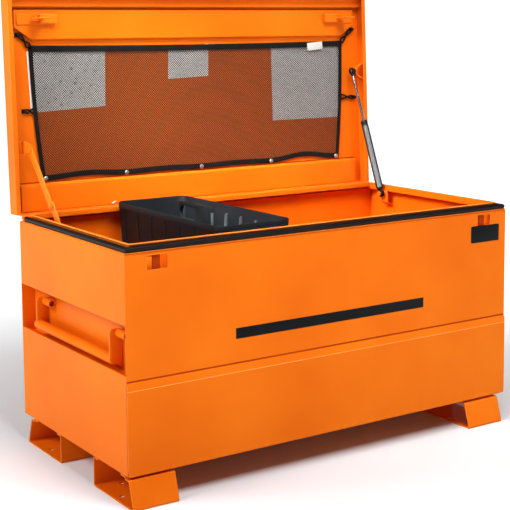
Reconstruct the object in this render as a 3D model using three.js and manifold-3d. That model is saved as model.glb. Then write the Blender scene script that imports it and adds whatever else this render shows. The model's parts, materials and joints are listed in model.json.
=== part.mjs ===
// A jobsite storage box of folded steel sheet, its lid open on a full-length hinge.
// Millimetres, +X to the right, +Y to the back, +Z up; the front faces -Y.

import * as THREE from "three";
import { mergeVertices } from "three/addons/utils/BufferGeometryUtils.js";
import Module from "manifold-3d";

const wasm = await Module();
wasm.setup();

// Driving dimensions
const gap = 0.3; // between pieces that seat on each other
const overrun = 4; // how far a cutting tool runs past what it cuts
const sheet = 1.6; // body and lid sheet
const foldRadius = 3;

const body = {
  width: 1219,
  depth: 610,
  height: 535, // of the side sheets
  bottomReturn: 70,
  endReturn: 30,
  topReturn: 16,
  cornerRadius: 6,
};

// The front sheet's lower part stands proud below a sloped ledge
const ledge = { top: 230, low: 208, proud: 4 };

// The trough that crosses each end and holds the handle
const recess = { sill: 246, opening: 118, depth: 38, floorFall: 14 };

const rim = {
  inset: 2,
  width: 24,
  lipHeight: 20,
  beadWidth: 4.6,
  beadHeight: 4,
  rearRise: 6, // how much higher the rail at the hinge side is
  rearUpright: 4.3, // from the back, clear of the lid's turning edge
};
const seal = { inset: 3, width: 19, height: 13.6, crown: 3 };

const floorSheet = { beads: 3, beadWidth: 60, beadDepth: 6, beadSlope: 12 };

const skid = {
  height: 76,
  length: 125,
  depth: 188,
  splay: 22,
  gauge: 3,
  foldRadius: 5,
  joggle: 19,
  joggleDrop: 6,
  flange: 24,
  holeRadius: 6.5,
  holeSpacing: [41, 80],
  holeInset: [22, 80],
  rightInset: 27,
  rearInset: 43,
};

const slot = { width: 55, height: 34, drop: 9, fromEnd: 87.5, corner: 3 };
const lockBox = { width: 84, height: 58, depth: 80, gauge: 2, chute: 30 };
const lockBar = { width: 20, gauge: 4, setBack: 3 };

const sleeve = { radius: 11, bore: 7.3, length: 45 };
const handle = {
  pivotHeight: 330,
  armInset: 92, // from the front and the back of the box
  armGauge: 5,
  armOuter: 25,
  armInner: 9.5,
  crown: 10.6,
  outerDrop: 65,
  innerDrop: 84,
  gripRadius: 13,
  gripBore: 10.4,
  gripOut: 13,
  gripDrop: 64,
  gripPast: 12,
  pinRadius: 7,
  pinLength: 30,
};

const hinge = {
  rise: 9, // of the axis above the side sheets
  pinRadius: 2.5,
  knuckleRadius: 5.7,
  knuckle: 47,
  play: 1,
  count: 25,
  leafHeight: 34,
  leafGauge: 2,
  sides: 12,
};

const lid = {
  openDegrees: 92.5,
  overhang: 2,
  height: 44,
  lip: 13,
  frontLip: 20,
  frontStep: [3, 22], // inwards and up, clear of the tray
  frontHem: 23,
};

const channel = {
  gauge: 1.6,
  height: 12,
  slope: 5,
  foot: 5,
  front: [140, 50], // its two edges, from the lid's front edge
  corner: [56, 38],
  rearFar: 78.5,
  endGap: 16,
};

const lockTongue = {
  plate: [108, 30],
  gauge: 3,
  block: [50, 16],
  blockInwards: 35,
  tongue: [34, 74],
  holeRadius: 6,
  fromFront: 80,
};

const net = {
  fromFront: 159, // of its upper edge, from the lid's front edge
  bottom: 85,
  fromEnd: 79.5, // of its upper corners, from the lid's ends
  taper: 19, // of each side, towards the lower edge
  hem: 11,
  cord: 5.5,
  columns: 24,
  rows: 9,
  thickness: 2,
  behind: 5, // from the panel to the net
};
const snap = { count: 5, headRadius: 7, head: 3, studRadius: 3, hole: 3.6, inset: 6 };

const netCord = { radius: 1.6, loop: 5.6, sides: 3, steps: 14 };
const hook = { radius: 2.2, plate: [16, 12], gauge: 2, reach: 9 };

const strut = {
  fromEnd: 44.5, // of the plane it turns in
  bodyPivot: [105, 6], // forward of the back, below the top of the sheets
  lidPivot: [367, 23], // in the lid, from the hinge axis
  cylinder: 242,
  cylinderRadius: 11,
  bore: 9,
  rodRadius: 4,
  rodRunning: 0.4,
  cap: 10,
  wall: 4,
  piston: 12,
  overlap: 34,
  eyeRadius: 9,
  eyeWidth: 12,
  studRadius: 5,
  neckRadius: 6,
  bracketGauge: 3,
  bracketWidth: 30,
};

const stay = {
  fromEnd: 30.5, // from the lid's end
  gauge: 4,
  width: 22,
  rivetRadius: 5,
  headRadius: 8,
  head: 2,
  lidPivot: [189.3, -19.3],
  knee: [135, 56], // forward of the back, above the top of the sheets
  bodyPivot: [232.8, 65.3], // forward of the back, below the top of the sheets
  bracketGauge: 3,
  bracketWidth: 34,
};

const tray = {
  width: 223,
  left: 335, // of its left edge from the middle of the box
  wall: 3,
  height: 146,
  rise: 15, // of its top above the box's lip
  draft: 8,
  lipReach: 2.5,
  lipGauge: 3,
  lipClear: 5,
  corner: 26,
  floor: 3,
  wallShares: [-0.42, 0.16, 0.58],
  crossGauge: 3,
};
const trayHandle = {
  gauge: 10,
  lengthShare: 0.345,
  atShare: 0.115,
  holeAtShare: 0.2,
  rise: 14, // above the tray's top
  footDrop: 116, // of its foot below the tray's top
  hole: [84, 34],
  holeDrop: 12,
  cap: 12,
};

// Places that follow from the sizes
const half = body.width / 2;
const deep = body.depth / 2;
const baseZ = skid.height;
const topZ = baseZ + body.height;
const ledgeTopZ = topZ + gap + sheet;
const lipTopZ = topZ + gap + rim.lipHeight;
const lipInner = rim.inset + rim.width;
const frontY = -deep;
const upperFrontY = frontY + ledge.proud;
const innerFrontY = upperFrontY + sheet;
const innerBackY = deep - sheet;
const hingeY = deep + gap + hinge.knuckleRadius;
const hingeZ = topZ + hinge.rise;
const sealTopZ = ledgeTopZ + gap + seal.height;
const open = THREE.MathUtils.degToRad(lid.openDegrees);

// In the closed lid: u runs back and v up from the hinge axis
const lidBottomV = sealTopZ + gap - hingeZ;
const lidTopV = lidBottomV + lid.height;
const panelV = lidTopV - sheet;
const lidRearU = -(hingeY - deep);
const lidHalf = half + lid.overhang;
const lidDepth = body.depth + lid.overhang;
const lidFrontU = lidRearU - lidDepth;
const netTop = lidDepth - net.fromFront;
const netLength = netTop - net.bottom;
const netTopHalf = lidHalf - net.fromEnd;
const netBottomHalf = netTopHalf - net.taper;

// Materials
const orange = 0xf47a20;
const black = 0x1d1f21;
const paint = () =>
  new THREE.MeshStandardMaterial({ color: orange, roughness: 0.38, metalness: 0.1 });
const rubber = () =>
  new THREE.MeshStandardMaterial({ color: black, roughness: 0.75, metalness: 0 });
const plastic = () =>
  new THREE.MeshStandardMaterial({ color: 0x26282b, roughness: 0.55, metalness: 0 });
const steel = () =>
  new THREE.MeshStandardMaterial({ color: 0xb9bcc0, roughness: 0.3, metalness: 0.9 });
const darkSteel = () =>
  new THREE.MeshStandardMaterial({ color: 0x2c2f33, roughness: 0.35, metalness: 0.6 });
const webbing = () =>
  new THREE.MeshStandardMaterial({ color: 0x17181a, roughness: 0.9, metalness: 0 });

// Solids and outlines
function solidOf(geometry) {
  const bare = geometry.clone();
  bare.deleteAttribute("normal");
  bare.deleteAttribute("uv");
  const merged = mergeVertices(bare);
  return new wasm.Manifold(
    new wasm.Mesh({
      numProp: 3,
      vertProperties: merged.attributes.position.array,
      triVerts: Uint32Array.from(merged.index.array),
    }),
  );
}

function geometryOf(manifold) {
  const made = manifold.getMesh();
  const geometry = new THREE.BufferGeometry();
  geometry.setAttribute("position", new THREE.BufferAttribute(made.vertProperties, 3));
  geometry.setIndex(new THREE.BufferAttribute(made.triVerts, 1));
  const flat = geometry.toNonIndexed();
  flat.computeVertexNormals();
  return flat;
}

function cut(geometry, ...tools) {
  let left = solidOf(geometry);
  for (const tool of tools) left = left.subtract(solidOf(tool));
  return geometryOf(left);
}

function join(...geometries) {
  let whole = solidOf(geometries[0]);
  for (const next of geometries.slice(1)) whole = whole.add(solidOf(next));
  return geometryOf(whole);
}

function outline(points) {
  return new THREE.Shape(points.map(([a, b]) => new THREE.Vector2(a, b)));
}

// A rectangle with rounded corners, from (x0, y0) to (x1, y1)
function roundedRect(x0, y0, x1, y1, radius) {
  const shape = new THREE.Shape();
  shape.absarc(x1 - radius, y1 - radius, radius, 0, Math.PI / 2);
  shape.absarc(x0 + radius, y1 - radius, radius, Math.PI / 2, Math.PI);
  shape.absarc(x0 + radius, y0 + radius, radius, Math.PI, Math.PI * 1.5);
  shape.absarc(x1 - radius, y0 + radius, radius, Math.PI * 1.5, Math.PI * 2);
  return shape;
}

// A flat bar with round ends, from a to b
function barOutline(a, b, radius) {
  const turn = Math.atan2(b[1] - a[1], b[0] - a[0]);
  const shape = new THREE.Shape();
  shape.absarc(b[0], b[1], radius, turn - Math.PI / 2, turn + Math.PI / 2);
  shape.absarc(a[0], a[1], radius, turn + Math.PI / 2, turn + Math.PI * 1.5);
  return shape;
}

function extruded(shape, length, curveSegments = 6) {
  return new THREE.ExtrudeGeometry(shape, { depth: length, bevelEnabled: false, curveSegments });
}

// An outline in (Y, Z) run along X
function alongX(shape, from, to, curveSegments) {
  const turn = new THREE.Matrix4().makeBasis(
    new THREE.Vector3(0, 1, 0),
    new THREE.Vector3(0, 0, 1),
    new THREE.Vector3(1, 0, 0),
  );
  return extruded(shape, to - from, curveSegments).applyMatrix4(turn).translate(from, 0, 0);
}

// An outline in (X, Z) run along Y
function alongY(shape, from, to, curveSegments) {
  const turn = new THREE.Matrix4().makeBasis(
    new THREE.Vector3(1, 0, 0),
    new THREE.Vector3(0, 0, 1),
    new THREE.Vector3(0, -1, 0),
  );
  return extruded(shape, to - from, curveSegments).applyMatrix4(turn).translate(0, to, 0);
}

// An outline in (X, Y) run along Z
function alongZ(shape, from, to, curveSegments) {
  return extruded(shape, to - from, curveSegments).translate(0, 0, from);
}

function block(x0, x1, y0, y1, z0, z1) {
  return new THREE.BoxGeometry(x1 - x0, y1 - y0, z1 - z0).translate(
    (x0 + x1) / 2,
    (y0 + y1) / 2,
    (z0 + z1) / 2,
  );
}

function rodAlongX(radius, from, to, y, z, sides = 16) {
  return new THREE.CylinderGeometry(radius, radius, to - from, sides)
    .rotateZ(Math.PI / 2)
    .translate((from + to) / 2, y, z);
}

function rodAlongY(radius, from, to, x, z, sides = 18) {
  return new THREE.CylinderGeometry(radius, radius, to - from, sides).translate(
    x,
    (from + to) / 2,
    z,
  );
}

// Each corner of a bent line becomes an arc
function roundedPath(points, radius, steps = 3) {
  const path = [new THREE.Vector2(...points[0])];
  for (let i = 1; i < points.length - 1; i++) {
    const at = new THREE.Vector2(...points[i]);
    const before = new THREE.Vector2(...points[i - 1]).sub(at);
    const after = new THREE.Vector2(...points[i + 1]).sub(at);
    const turn = Math.PI - before.angleTo(after);
    const reach = Math.min(
      radius * Math.tan(turn / 2),
      before.length() / 2,
      after.length() / 2,
    );
    const a = before.setLength(reach).add(at);
    const b = after.setLength(reach).add(at);
    const arc = new THREE.QuadraticBezierCurve(a, at, b);
    path.push(...arc.getPoints(steps));
  }
  path.push(new THREE.Vector2(...points[points.length - 1]));
  return path.filter((p, i) => i === 0 || p.distanceTo(path[i - 1]) > radius / 100);
}

// A sheet of one gauge that follows a bent line, its other face to the line's left
function foldedSheet(points, gauge, radius) {
  const path = roundedPath(points, radius);
  const along = path.slice(1).map((p, i) => p.clone().sub(path[i]).normalize());
  const left = along.map((d) => new THREE.Vector2(-d.y, d.x));
  const other = path.map((p, i) => {
    const a = left[Math.max(i - 1, 0)];
    const b = left[Math.min(i, left.length - 1)];
    return p.clone().addScaledVector(a.clone().add(b), gauge / (1 + a.dot(b)));
  });
  return new THREE.Shape([...path, ...other.reverse()]);
}

// A section of [inset, height] points carried round a rectangle with mitred corners
function frameAround(halfX, halfY, section) {
  const corners = [
    [-1, -1],
    [1, -1],
    [1, 1],
    [-1, 1],
  ];
  const position = [];
  for (const [sx, sy] of corners)
    for (const [inset, z] of section)
      position.push(sx * (halfX - inset), sy * (halfY - inset), z);
  const index = [];
  const n = section.length;
  for (let c = 0; c < corners.length; c++)
    for (let i = 0; i < n; i++) {
      const a = c * n + i;
      const b = c * n + ((i + 1) % n);
      const d = ((c + 1) % corners.length) * n + i;
      const e = ((c + 1) % corners.length) * n + ((i + 1) % n);
      index.push(a, e, d, a, b, e);
    }
  const geometry = new THREE.BufferGeometry();
  geometry.setAttribute("position", new THREE.Float32BufferAttribute(position, 3));
  geometry.setIndex(index);
  return geometry;
}

function piece(name, geometry, material, parent) {
  const mesh = new THREE.Mesh(geometry, material);
  mesh.name = name;
  parent.add(mesh);
  return mesh;
}

// Body sheets
function frontPanel() {
  const profile = foldedSheet(
    [
      [frontY + body.bottomReturn, baseZ],
      [frontY, baseZ],
      [frontY, baseZ + ledge.low],
      [upperFrontY, baseZ + ledge.top],
      [upperFrontY, topZ],
      [upperFrontY + body.topReturn, topZ],
    ].reverse(),
    sheet,
    foldRadius,
  );
  const wide = solidOf(alongX(profile, -half, half));
  const trimmed = wide.intersect(
    solidOf(
      alongY(
        roundedRect(-half, baseZ, half, topZ, body.cornerRadius),
        frontY - overrun,
        frontY + body.depth,
      ),
    ),
  );
  const holes = [-1, 1].map((side) => slotTool(side, frontY - overrun, innerFrontY + overrun));
  const reliefs = cornerReliefs(innerFrontY, innerFrontY + body.bottomReturn + overrun);
  return cut(geometryOf(trimmed), ...holes, ...reliefs);
}

// The flanges of the front and back sheets stop short of the end sheets
function cornerReliefs(y0, y1) {
  const x = half - sheet - 2 * gap;
  return [-1, 1].flatMap((side) => {
    const [x0, x1] = [side * x, side * (half + overrun)].sort((a, b) => a - b);
    return [
      block(x0, x1, y0, y1, baseZ - overrun, baseZ + 2 * foldRadius),
      block(x0, x1, y0, y1, topZ - 2 * foldRadius, topZ + overrun),
    ];
  });
}

// The padlock opening, less wide than its pocket
function slotTool(side, from, to) {
  const x = side * (half - slot.fromEnd);
  const z = topZ - slot.drop - slot.height;
  const hole = roundedRect(
    x - slot.width / 2,
    z,
    x + slot.width / 2,
    z + slot.height,
    slot.corner,
  );
  return alongY(hole, from, to);
}

function backPanel() {
  const profile = foldedSheet(
    [
      [deep - body.bottomReturn, baseZ],
      [deep, baseZ],
      [deep, topZ],
      [deep - body.topReturn, topZ],
    ],
    sheet,
    foldRadius,
  );
  const whole = alongX(profile, -half, half);
  return cut(whole, ...cornerReliefs(innerBackY - body.bottomReturn - overrun, innerBackY));
}

// An end sheet with the handle trough folded into it; the left one
function endPanel() {
  const sillZ = baseZ + recess.sill;
  const inX = -half + recess.depth;
  const profile = foldedSheet(
    [
      [-half + body.endReturn, baseZ],
      [-half, baseZ],
      [-half, sillZ],
      [inX, sillZ - recess.floorFall],
      [inX, sillZ + recess.opening],
      [-half, sillZ + recess.opening],
      [-half, topZ],
      [-half + body.topReturn, topZ],
    ].reverse(),
    sheet,
    foldRadius,
  );
  const returned = body.bottomReturn + gap;
  const whole = alongY(profile, innerFrontY + gap, innerBackY - gap);
  // The end flanges stop short of the ones on the front and back sheets
  const reach = [-half + sheet + gap, -half + body.endReturn + overrun];
  const notches = [
    [frontY, frontY + returned, baseZ - overrun, baseZ + foldRadius + overrun],
    [deep - returned, deep, baseZ - overrun, baseZ + foldRadius + overrun],
    [frontY, upperFrontY + body.topReturn + gap, topZ - foldRadius - overrun, topZ + overrun],
    [deep - body.topReturn - gap, deep, topZ - foldRadius - overrun, topZ + overrun],
  ];
  const proudStrip = block(
    -half - overrun,
    -half + body.endReturn + overrun,
    frontY - overrun,
    frontY + sheet + gap,
    baseZ - overrun,
    baseZ + ledge.top,
  );
  return cut(whole, proudStrip, ...notches.map((n) => block(...reach, ...n)));
}

function floorPanel() {
  const z = baseZ + sheet + gap;
  const y0 = frontY + sheet + foldRadius + gap;
  const y1 = deep - sheet - foldRadius - gap;
  const path = [[y0, z]];
  for (let i = 0; i < floorSheet.beads; i++) {
    const middle = y0 + ((i + 0.5) * (y1 - y0)) / floorSheet.beads;
    const run = floorSheet.beadWidth / 2;
    path.push([middle - run - floorSheet.beadSlope, z]);
    path.push([middle - run, z + floorSheet.beadDepth]);
    path.push([middle + run, z + floorSheet.beadDepth]);
    path.push([middle + run + floorSheet.beadSlope, z]);
  }
  path.push([y1, z]);
  const x = half - sheet - foldRadius - gap;
  return alongX(foldedSheet(path, sheet, foldRadius), -x, x);
}

// Rim and seal
function rimFrame() {
  const z = topZ + gap;
  const lip = lipInner - sheet;
  const bead = lipInner - rim.beadWidth;
  const section = [
    [rim.inset, z],
    [lipInner, z],
    [lipInner, lipTopZ - rim.beadHeight * 0.2],
    [lipInner - rim.beadWidth * 0.3, lipTopZ],
    [bead + rim.beadWidth * 0.3, lipTopZ],
    [bead, lipTopZ - rim.beadHeight * 0.2],
    [bead, lipTopZ - rim.beadHeight],
    [lip, lipTopZ - rim.beadHeight],
    [lip, z + sheet],
    [rim.inset, z + sheet],
  ];
  const inner = half - lipInner;
  const shelfZ = z + rim.rearRise;
  const upright = deep - rim.rearUpright;
  const under = block(
    -inner,
    inner,
    deep - lipInner - overrun,
    upright - sheet,
    z - overrun,
    shelfZ,
  );
  const shelf = block(-inner, inner, deep - lipInner, upright, shelfZ, shelfZ + sheet);
  const back = block(-inner, inner, upright - sheet, upright, z, shelfZ + sheet);
  const cheeks = [-1, 1].map((side) => {
    const [a, b] = [side * inner, side * (inner + sheet)].sort((p, q) => p - q);
    return block(a, b, deep - lipInner, upright, z, shelfZ + sheet);
  });
  return join(cut(frameAround(half, deep, section), under), shelf, back, ...cheeks);
}

// The seal goes round the front and both ends and stops at the hinge side
function rimSeal() {
  const z = ledgeTopZ + gap;
  const end = seal.inset + seal.width;
  const crownZ = z + seal.height - seal.crown;
  const section = [
    [seal.inset, z],
    [end, z],
    [end, crownZ],
    [end - seal.width * 0.2, z + seal.height],
    [seal.inset + seal.width * 0.2, z + seal.height],
    [seal.inset, crownZ],
  ];
  const behind = block(
    -half,
    half,
    deep - seal.inset - seal.width - overrun,
    deep + overrun,
    z - overrun,
    z + seal.height + overrun,
  );
  return cut(frameAround(half, deep, section), behind);
}

// Skids: a channel with a splayed outer face, made for the front left corner
function skidChannel() {
  const seatZ = baseZ - gap;
  const outer = frontY;
  const inner = frontY + skid.depth;
  const profile = foldedSheet(
    [
      [outer + skid.joggle + skid.flange, seatZ],
      [outer + skid.joggle, seatZ],
      [outer + skid.joggle, baseZ - skid.joggleDrop],
      [outer, baseZ - skid.joggleDrop],
      [outer - skid.splay, 0],
      [inner, 0],
      [inner, seatZ],
      [inner - skid.flange, seatZ],
    ],
    skid.gauge,
    skid.foldRadius,
  );
  const channelX = alongX(profile, 0, skid.length);
  const holes = [0, 1].map((i) =>
    new THREE.CylinderGeometry(skid.holeRadius, skid.holeRadius, skid.gauge + 2 * overrun, 16)
      .rotateX(Math.PI / 2)
      .translate(
        skid.holeInset[0] + i * skid.holeSpacing[0],
        frontY + skid.holeInset[1] + i * skid.holeSpacing[1],
        0,
      ),
  );
  return cut(channelX, ...holes);
}

const lockTopZ = topZ - sheet - foldRadius;

// The pocket behind a padlock opening: open at the front, with a chute for the tongue
function lockHousing(side) {
  const x = side * (half - slot.fromEnd);
  const wide = lockBox.width / 2;
  const g = lockBox.gauge;
  const front = innerFrontY + gap;
  const back = front + lockBox.depth;
  const top = lockTopZ;
  const bottom = top - lockBox.height;
  const whole = block(x - wide, x + wide, front, back, bottom, top);
  const hollow = alongX(
    outline([
      [front - overrun, bottom + g],
      [front + lockBox.chute, bottom + g],
      [back - g, bottom + g + lockBox.chute],
      [back - g, top + overrun],
      [front + body.topReturn + overrun, top + overrun],
      [front + body.topReturn + overrun, top - g],
      [front - overrun, top - g],
    ]),
    x - wide + g,
    x + wide - g,
  );
  return cut(whole, hollow);
}

// The upright bar that the padlock's shackle goes round
function lockUpright(side) {
  const x = side * (half - slot.fromEnd);
  const front = innerFrontY + gap + lockBar.setBack;
  const top = lockTopZ - lockBox.gauge - gap;
  const bottom = lockTopZ - lockBox.height + lockBox.gauge + gap;
  return block(
    x - lockBar.width / 2,
    x + lockBar.width / 2,
    front,
    front + lockBar.gauge,
    bottom,
    top,
  );
}

// Handles, made for the left end
const armAt = deep - handle.armInset;
const pivotX = -half + recess.depth - gap - sleeve.radius;
const pivotZ = baseZ + handle.pivotHeight;

function handleArm(y) {
  const shape = new THREE.Shape();
  const outer = pivotX - handle.armOuter;
  const inner = pivotX + handle.armInner;
  shape.moveTo(inner, pivotZ);
  shape.absarc(pivotX, pivotZ, handle.crown, Math.acos(handle.armInner / handle.crown), Math.PI / 2);
  shape.absarc(
    outer + handle.crown,
    pivotZ,
    handle.crown,
    Math.PI / 2,
    Math.PI,
  );
  shape.lineTo(outer, pivotZ - handle.outerDrop);
  shape.lineTo(inner, pivotZ - handle.innerDrop);
  return alongY(shape, y - handle.armGauge / 2, y + handle.armGauge / 2);
}

function handleBail() {
  const x = pivotX - handle.gripOut;
  const z = pivotZ - handle.gripDrop;
  const front = -armAt - handle.armGauge / 2;
  const rear = armAt + handle.armGauge / 2 + handle.gripPast;
  const grip = cut(
    rodAlongY(handle.gripRadius, front, rear, x, z, 24),
    rodAlongY(handle.gripBore, armAt, rear + overrun, x, z, 24),
  );
  const pins = [-1, 1].map((end) => {
    const face = end * armAt - handle.armGauge / 2;
    return rodAlongY(handle.pinRadius, face - handle.pinLength, face + overrun / 2, pivotX, pivotZ);
  });
  return join(grip, handleArm(-armAt), handleArm(armAt), ...pins);
}

function pivotSleeve(end) {
  const face = end * armAt - handle.armGauge / 2 - gap;
  return cut(
    rodAlongY(sleeve.radius, face - sleeve.length, face, pivotX, pivotZ, 20),
    rodAlongY(sleeve.bore, face - sleeve.length - overrun, face + overrun, pivotX, pivotZ, 20),
  );
}

// Full-length hinge: knuckles of the two leaves take turns along one pin.
// The leaf is made on its own axis and hangs below it.
function hingeLeaf(first) {
  const pitch = hinge.knuckle + hinge.play;
  const start = (-pitch * hinge.count) / 2;
  const face = -hinge.knuckleRadius;
  const top = -hinge.knuckleRadius - gap;
  const leaf = block(
    start,
    -start,
    face,
    face + hinge.leafGauge,
    -hinge.leafHeight,
    top,
  );
  const solids = [leaf];
  for (let i = first; i < hinge.count; i += 2) {
    const x0 = start + i * pitch + hinge.play / 2;
    const curl = new THREE.Shape();
    curl.absarc(0, 0, hinge.knuckleRadius, -Math.PI, Math.PI / 2);
    curl.absarc(0, 0, hinge.knuckleRadius, Math.PI / 2, Math.PI);
    const knuckle = alongX(curl, x0, x0 + hinge.knuckle, hinge.sides / 2);
    const tab = block(x0, x0 + hinge.knuckle, face, face + hinge.leafGauge, top - gap, 0);
    solids.push(knuckle, tab);
  }
  const bore = rodAlongX(hinge.pinRadius + gap, start - overrun, -start + overrun, 0, 0, hinge.sides);
  return cut(join(...solids), bore);
}

function hingePin() {
  const pitch = hinge.knuckle + hinge.play;
  const reach = (pitch * hinge.count) / 2;
  return rodAlongX(hinge.pinRadius, -reach, reach, hingeY, hingeZ, hinge.sides);
}

// Lid
function lidShell() {
  const outer = block(-lidHalf, lidHalf, lidFrontU, lidRearU, lidBottomV, lidTopV);
  const cavity = block(
    -lidHalf + sheet,
    lidHalf - sheet,
    lidFrontU + sheet,
    lidRearU - sheet,
    lidBottomV + sheet,
    panelV,
  );
  const mouth = block(
    -lidHalf + lid.lip,
    lidHalf - lid.lip,
    lidFrontU + lid.frontLip,
    lidRearU - sheet,
    lidBottomV - overrun,
    lidBottomV + sheet + overrun,
  );
  const [inwards, up] = lid.frontStep;
  const u = lidFrontU + lid.frontLip;
  const hem = foldedSheet(
    [
      [u - overrun, lidBottomV],
      [u, lidBottomV],
      [u + inwards, lidBottomV + up],
      [u + inwards + lid.frontHem, lidBottomV + up],
    ],
    sheet,
    foldRadius,
  );
  return join(cut(outer, cavity, mouth), alongX(hem, -lidHalf + sheet / 2, lidHalf - sheet / 2));
}

// A channel under the lid's panel: a foot and a sloped side at its far edge, then what ends it
function lidChannel(far, nearEnd) {
  const seat = panelV - gap - channel.gauge;
  const crown = seat + channel.gauge - channel.height;
  const u = lidRearU - far;
  const profile = foldedSheet(
    [[u - channel.foot, seat], [u, seat], [u + channel.slope, crown], ...nearEnd(seat, crown)],
    channel.gauge,
    foldRadius,
  );
  const reach = lidHalf - lid.lip - channel.endGap;
  return alongX(profile, -reach, reach);
}

// The rear channel's near side stands straight, along the lid's rear flange
function lidRearChannel() {
  const u = lidRearU - sheet - gap;
  return lidChannel(channel.rearFar, (seat, crown) => [
    [u, crown],
    [u, panelV - gap],
  ]);
}

// The front channel's corners at the net are cut off aslant for the elastic loops
function lidFrontChannel() {
  const [near, far] = channel.front.map((inset) => lidDepth - inset);
  const x = lidHalf - lid.lip - channel.endGap;
  const u = lidRearU - near;
  const whole = lidChannel(far, (seat, crown) => [
    [u - channel.slope, crown],
    [u, seat],
    [u + channel.foot, seat],
  ]);
  const [across, along] = channel.corner;
  const past = 2 * channel.foot;
  const corners = [-1, 1].map((side) => {
    const points = [
      [side * (x + past), u + past],
      [side * (x - across - (past * across) / along), u + past],
      [side * (x + past), u - along - (past * along) / across],
    ];
    return alongZ(outline(points), lidBottomV, panelV + overrun);
  });
  return cut(whole, ...corners);
}

// The padlock tongue: a plate on the front channel, a block and a blade with a hole
function lidTongue(side) {
  const x = side * (half - slot.fromEnd);
  const u = lidRearU - lidDepth + lockTongue.fromFront;
  const seat = panelV - channel.height - 2 * gap;
  const g = lockTongue.gauge;
  const [wide, tall] = lockTongue.plate;
  const plate = alongZ(
    roundedRect(x - wide / 2, u - tall / 2, x + wide / 2, u + tall / 2, g),
    seat - g,
    seat,
  );
  const [blockWide, blockDeep] = lockTongue.block;
  const middle = x - side * lockTongue.blockInwards;
  const raised = block(
    middle - blockWide / 2,
    middle + blockWide / 2,
    u - tall / 2 + g,
    u + tall / 2 - g,
    seat - blockDeep,
    seat - g / 2,
  );
  const [bladeWide, reach] = lockTongue.tongue;
  const r = lockTongue.holeRadius;
  const blade = alongY(
    roundedRect(x - bladeWide / 2, seat - reach, x + bladeWide / 2, seat - blockDeep / 2, r),
    u - g / 2,
    u + g / 2,
  );
  const hole = rodAlongY(r, u - tall, u + tall, x, seat - reach + 2 * r);
  return cut(join(plate, raised, blade), hole);
}

// The storage net: a hemmed sheet of square gaps, wider at its upper edge
function lidNet() {
  const length = netLength;
  const cell = [(2 * (netBottomHalf - net.hem)) / net.columns, (length - 2 * net.hem) / net.rows];
  const across = lines(2 * netBottomHalf, net.hem, net.columns, cell[0]);
  const along = lines(length, net.hem, net.rows, cell[1]);
  const v = panelV - net.behind;
  const point = (i, j, z) => {
    const share = along[j] / length;
    const spread = 1 + (netTopHalf / netBottomHalf - 1) * (1 - share);
    const x = (across[i] - netBottomHalf) * spread;
    return [x, lidRearU - netTop + along[j], z];
  };
  const sheetOfNet = lattice(across.length, along.length, point, v - net.thickness, v);
  const holes = snapPlaces().map((x) =>
    new THREE.CylinderGeometry(snap.hole, snap.hole, net.behind, 12)
      .rotateX(Math.PI / 2)
      .translate(x, lidRearU - net.bottom - snap.inset, v),
  );
  return cut(sheetOfNet, ...holes);
}

// The two edges of each cord of the net: hem, gap, cord, gap, hem
function lines(length, hem, count, cell) {
  const places = [0];
  for (let i = 0; i < count; i++) {
    places.push(hem + i * cell + (i === 0 ? 0 : net.cord / 2));
    places.push(hem + (i + 1) * cell - (i === count - 1 ? 0 : net.cord / 2));
  }
  places.push(length);
  return places;
}

// A slab on a grid of lines, open where both the column and the row are odd
function lattice(columns, rows, point, low, high) {
  const position = [];
  for (const z of [low, high])
    for (let j = 0; j < rows; j++)
      for (let i = 0; i < columns; i++) position.push(...point(i, j, z));
  const at = (i, j, level) => (level * rows + j) * columns + i;
  const filled = (i, j) => {
    if (i < 0 || j < 0 || i >= columns - 1 || j >= rows - 1) return false;
    return i % 2 === 0 || j % 2 === 0;
  };
  const index = [];
  const quad = (a, b, c, d) => index.push(a, b, c, a, c, d);
  for (let j = 0; j < rows - 1; j++)
    for (let i = 0; i < columns - 1; i++) {
      if (!filled(i, j)) continue;
      quad(at(i, j, 1), at(i + 1, j, 1), at(i + 1, j + 1, 1), at(i, j + 1, 1));
      quad(at(i, j, 0), at(i, j + 1, 0), at(i + 1, j + 1, 0), at(i + 1, j, 0));
      const walls = [
        [i, j - 1, i, j, i + 1, j],
        [i + 1, j, i + 1, j, i + 1, j + 1],
        [i, j + 1, i + 1, j + 1, i, j + 1],
        [i - 1, j, i, j + 1, i, j],
      ];
      for (const [ni, nj, ai, aj, bi, bj] of walls)
        if (!filled(ni, nj)) quad(at(ai, aj, 0), at(bi, bj, 0), at(bi, bj, 1), at(ai, aj, 1));
    }
  const geometry = new THREE.BufferGeometry();
  geometry.setAttribute("position", new THREE.Float32BufferAttribute(position, 3));
  geometry.setIndex(index);
  return geometry;
}

function snapPlaces() {
  const reach = netBottomHalf - snap.headRadius;
  return Array.from({ length: snap.count }, (_, i) => reach * ((2 * i) / (snap.count - 1) - 1));
}

// A domed stud that holds the net's lower hem to the lid's panel
function netSnap(x) {
  const netFace = panelV - net.behind - net.thickness - gap;
  const top = panelV - gap;
  const dome = snap.head;
  const profile = [
    [0, 0],
    [snap.headRadius * 0.5, dome * 0.15],
    [snap.headRadius * 0.85, dome * 0.5],
    [snap.headRadius, dome],
    [snap.studRadius, dome],
    [snap.studRadius, top - netFace + dome],
    [0, top - netFace + dome],
  ].map(([r, y]) => new THREE.Vector2(r, y));
  return new THREE.LatheGeometry(profile, 14)
    .rotateX(Math.PI / 2)
    .translate(x, lidRearU - net.bottom - snap.inset, netFace - dome);
}

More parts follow.
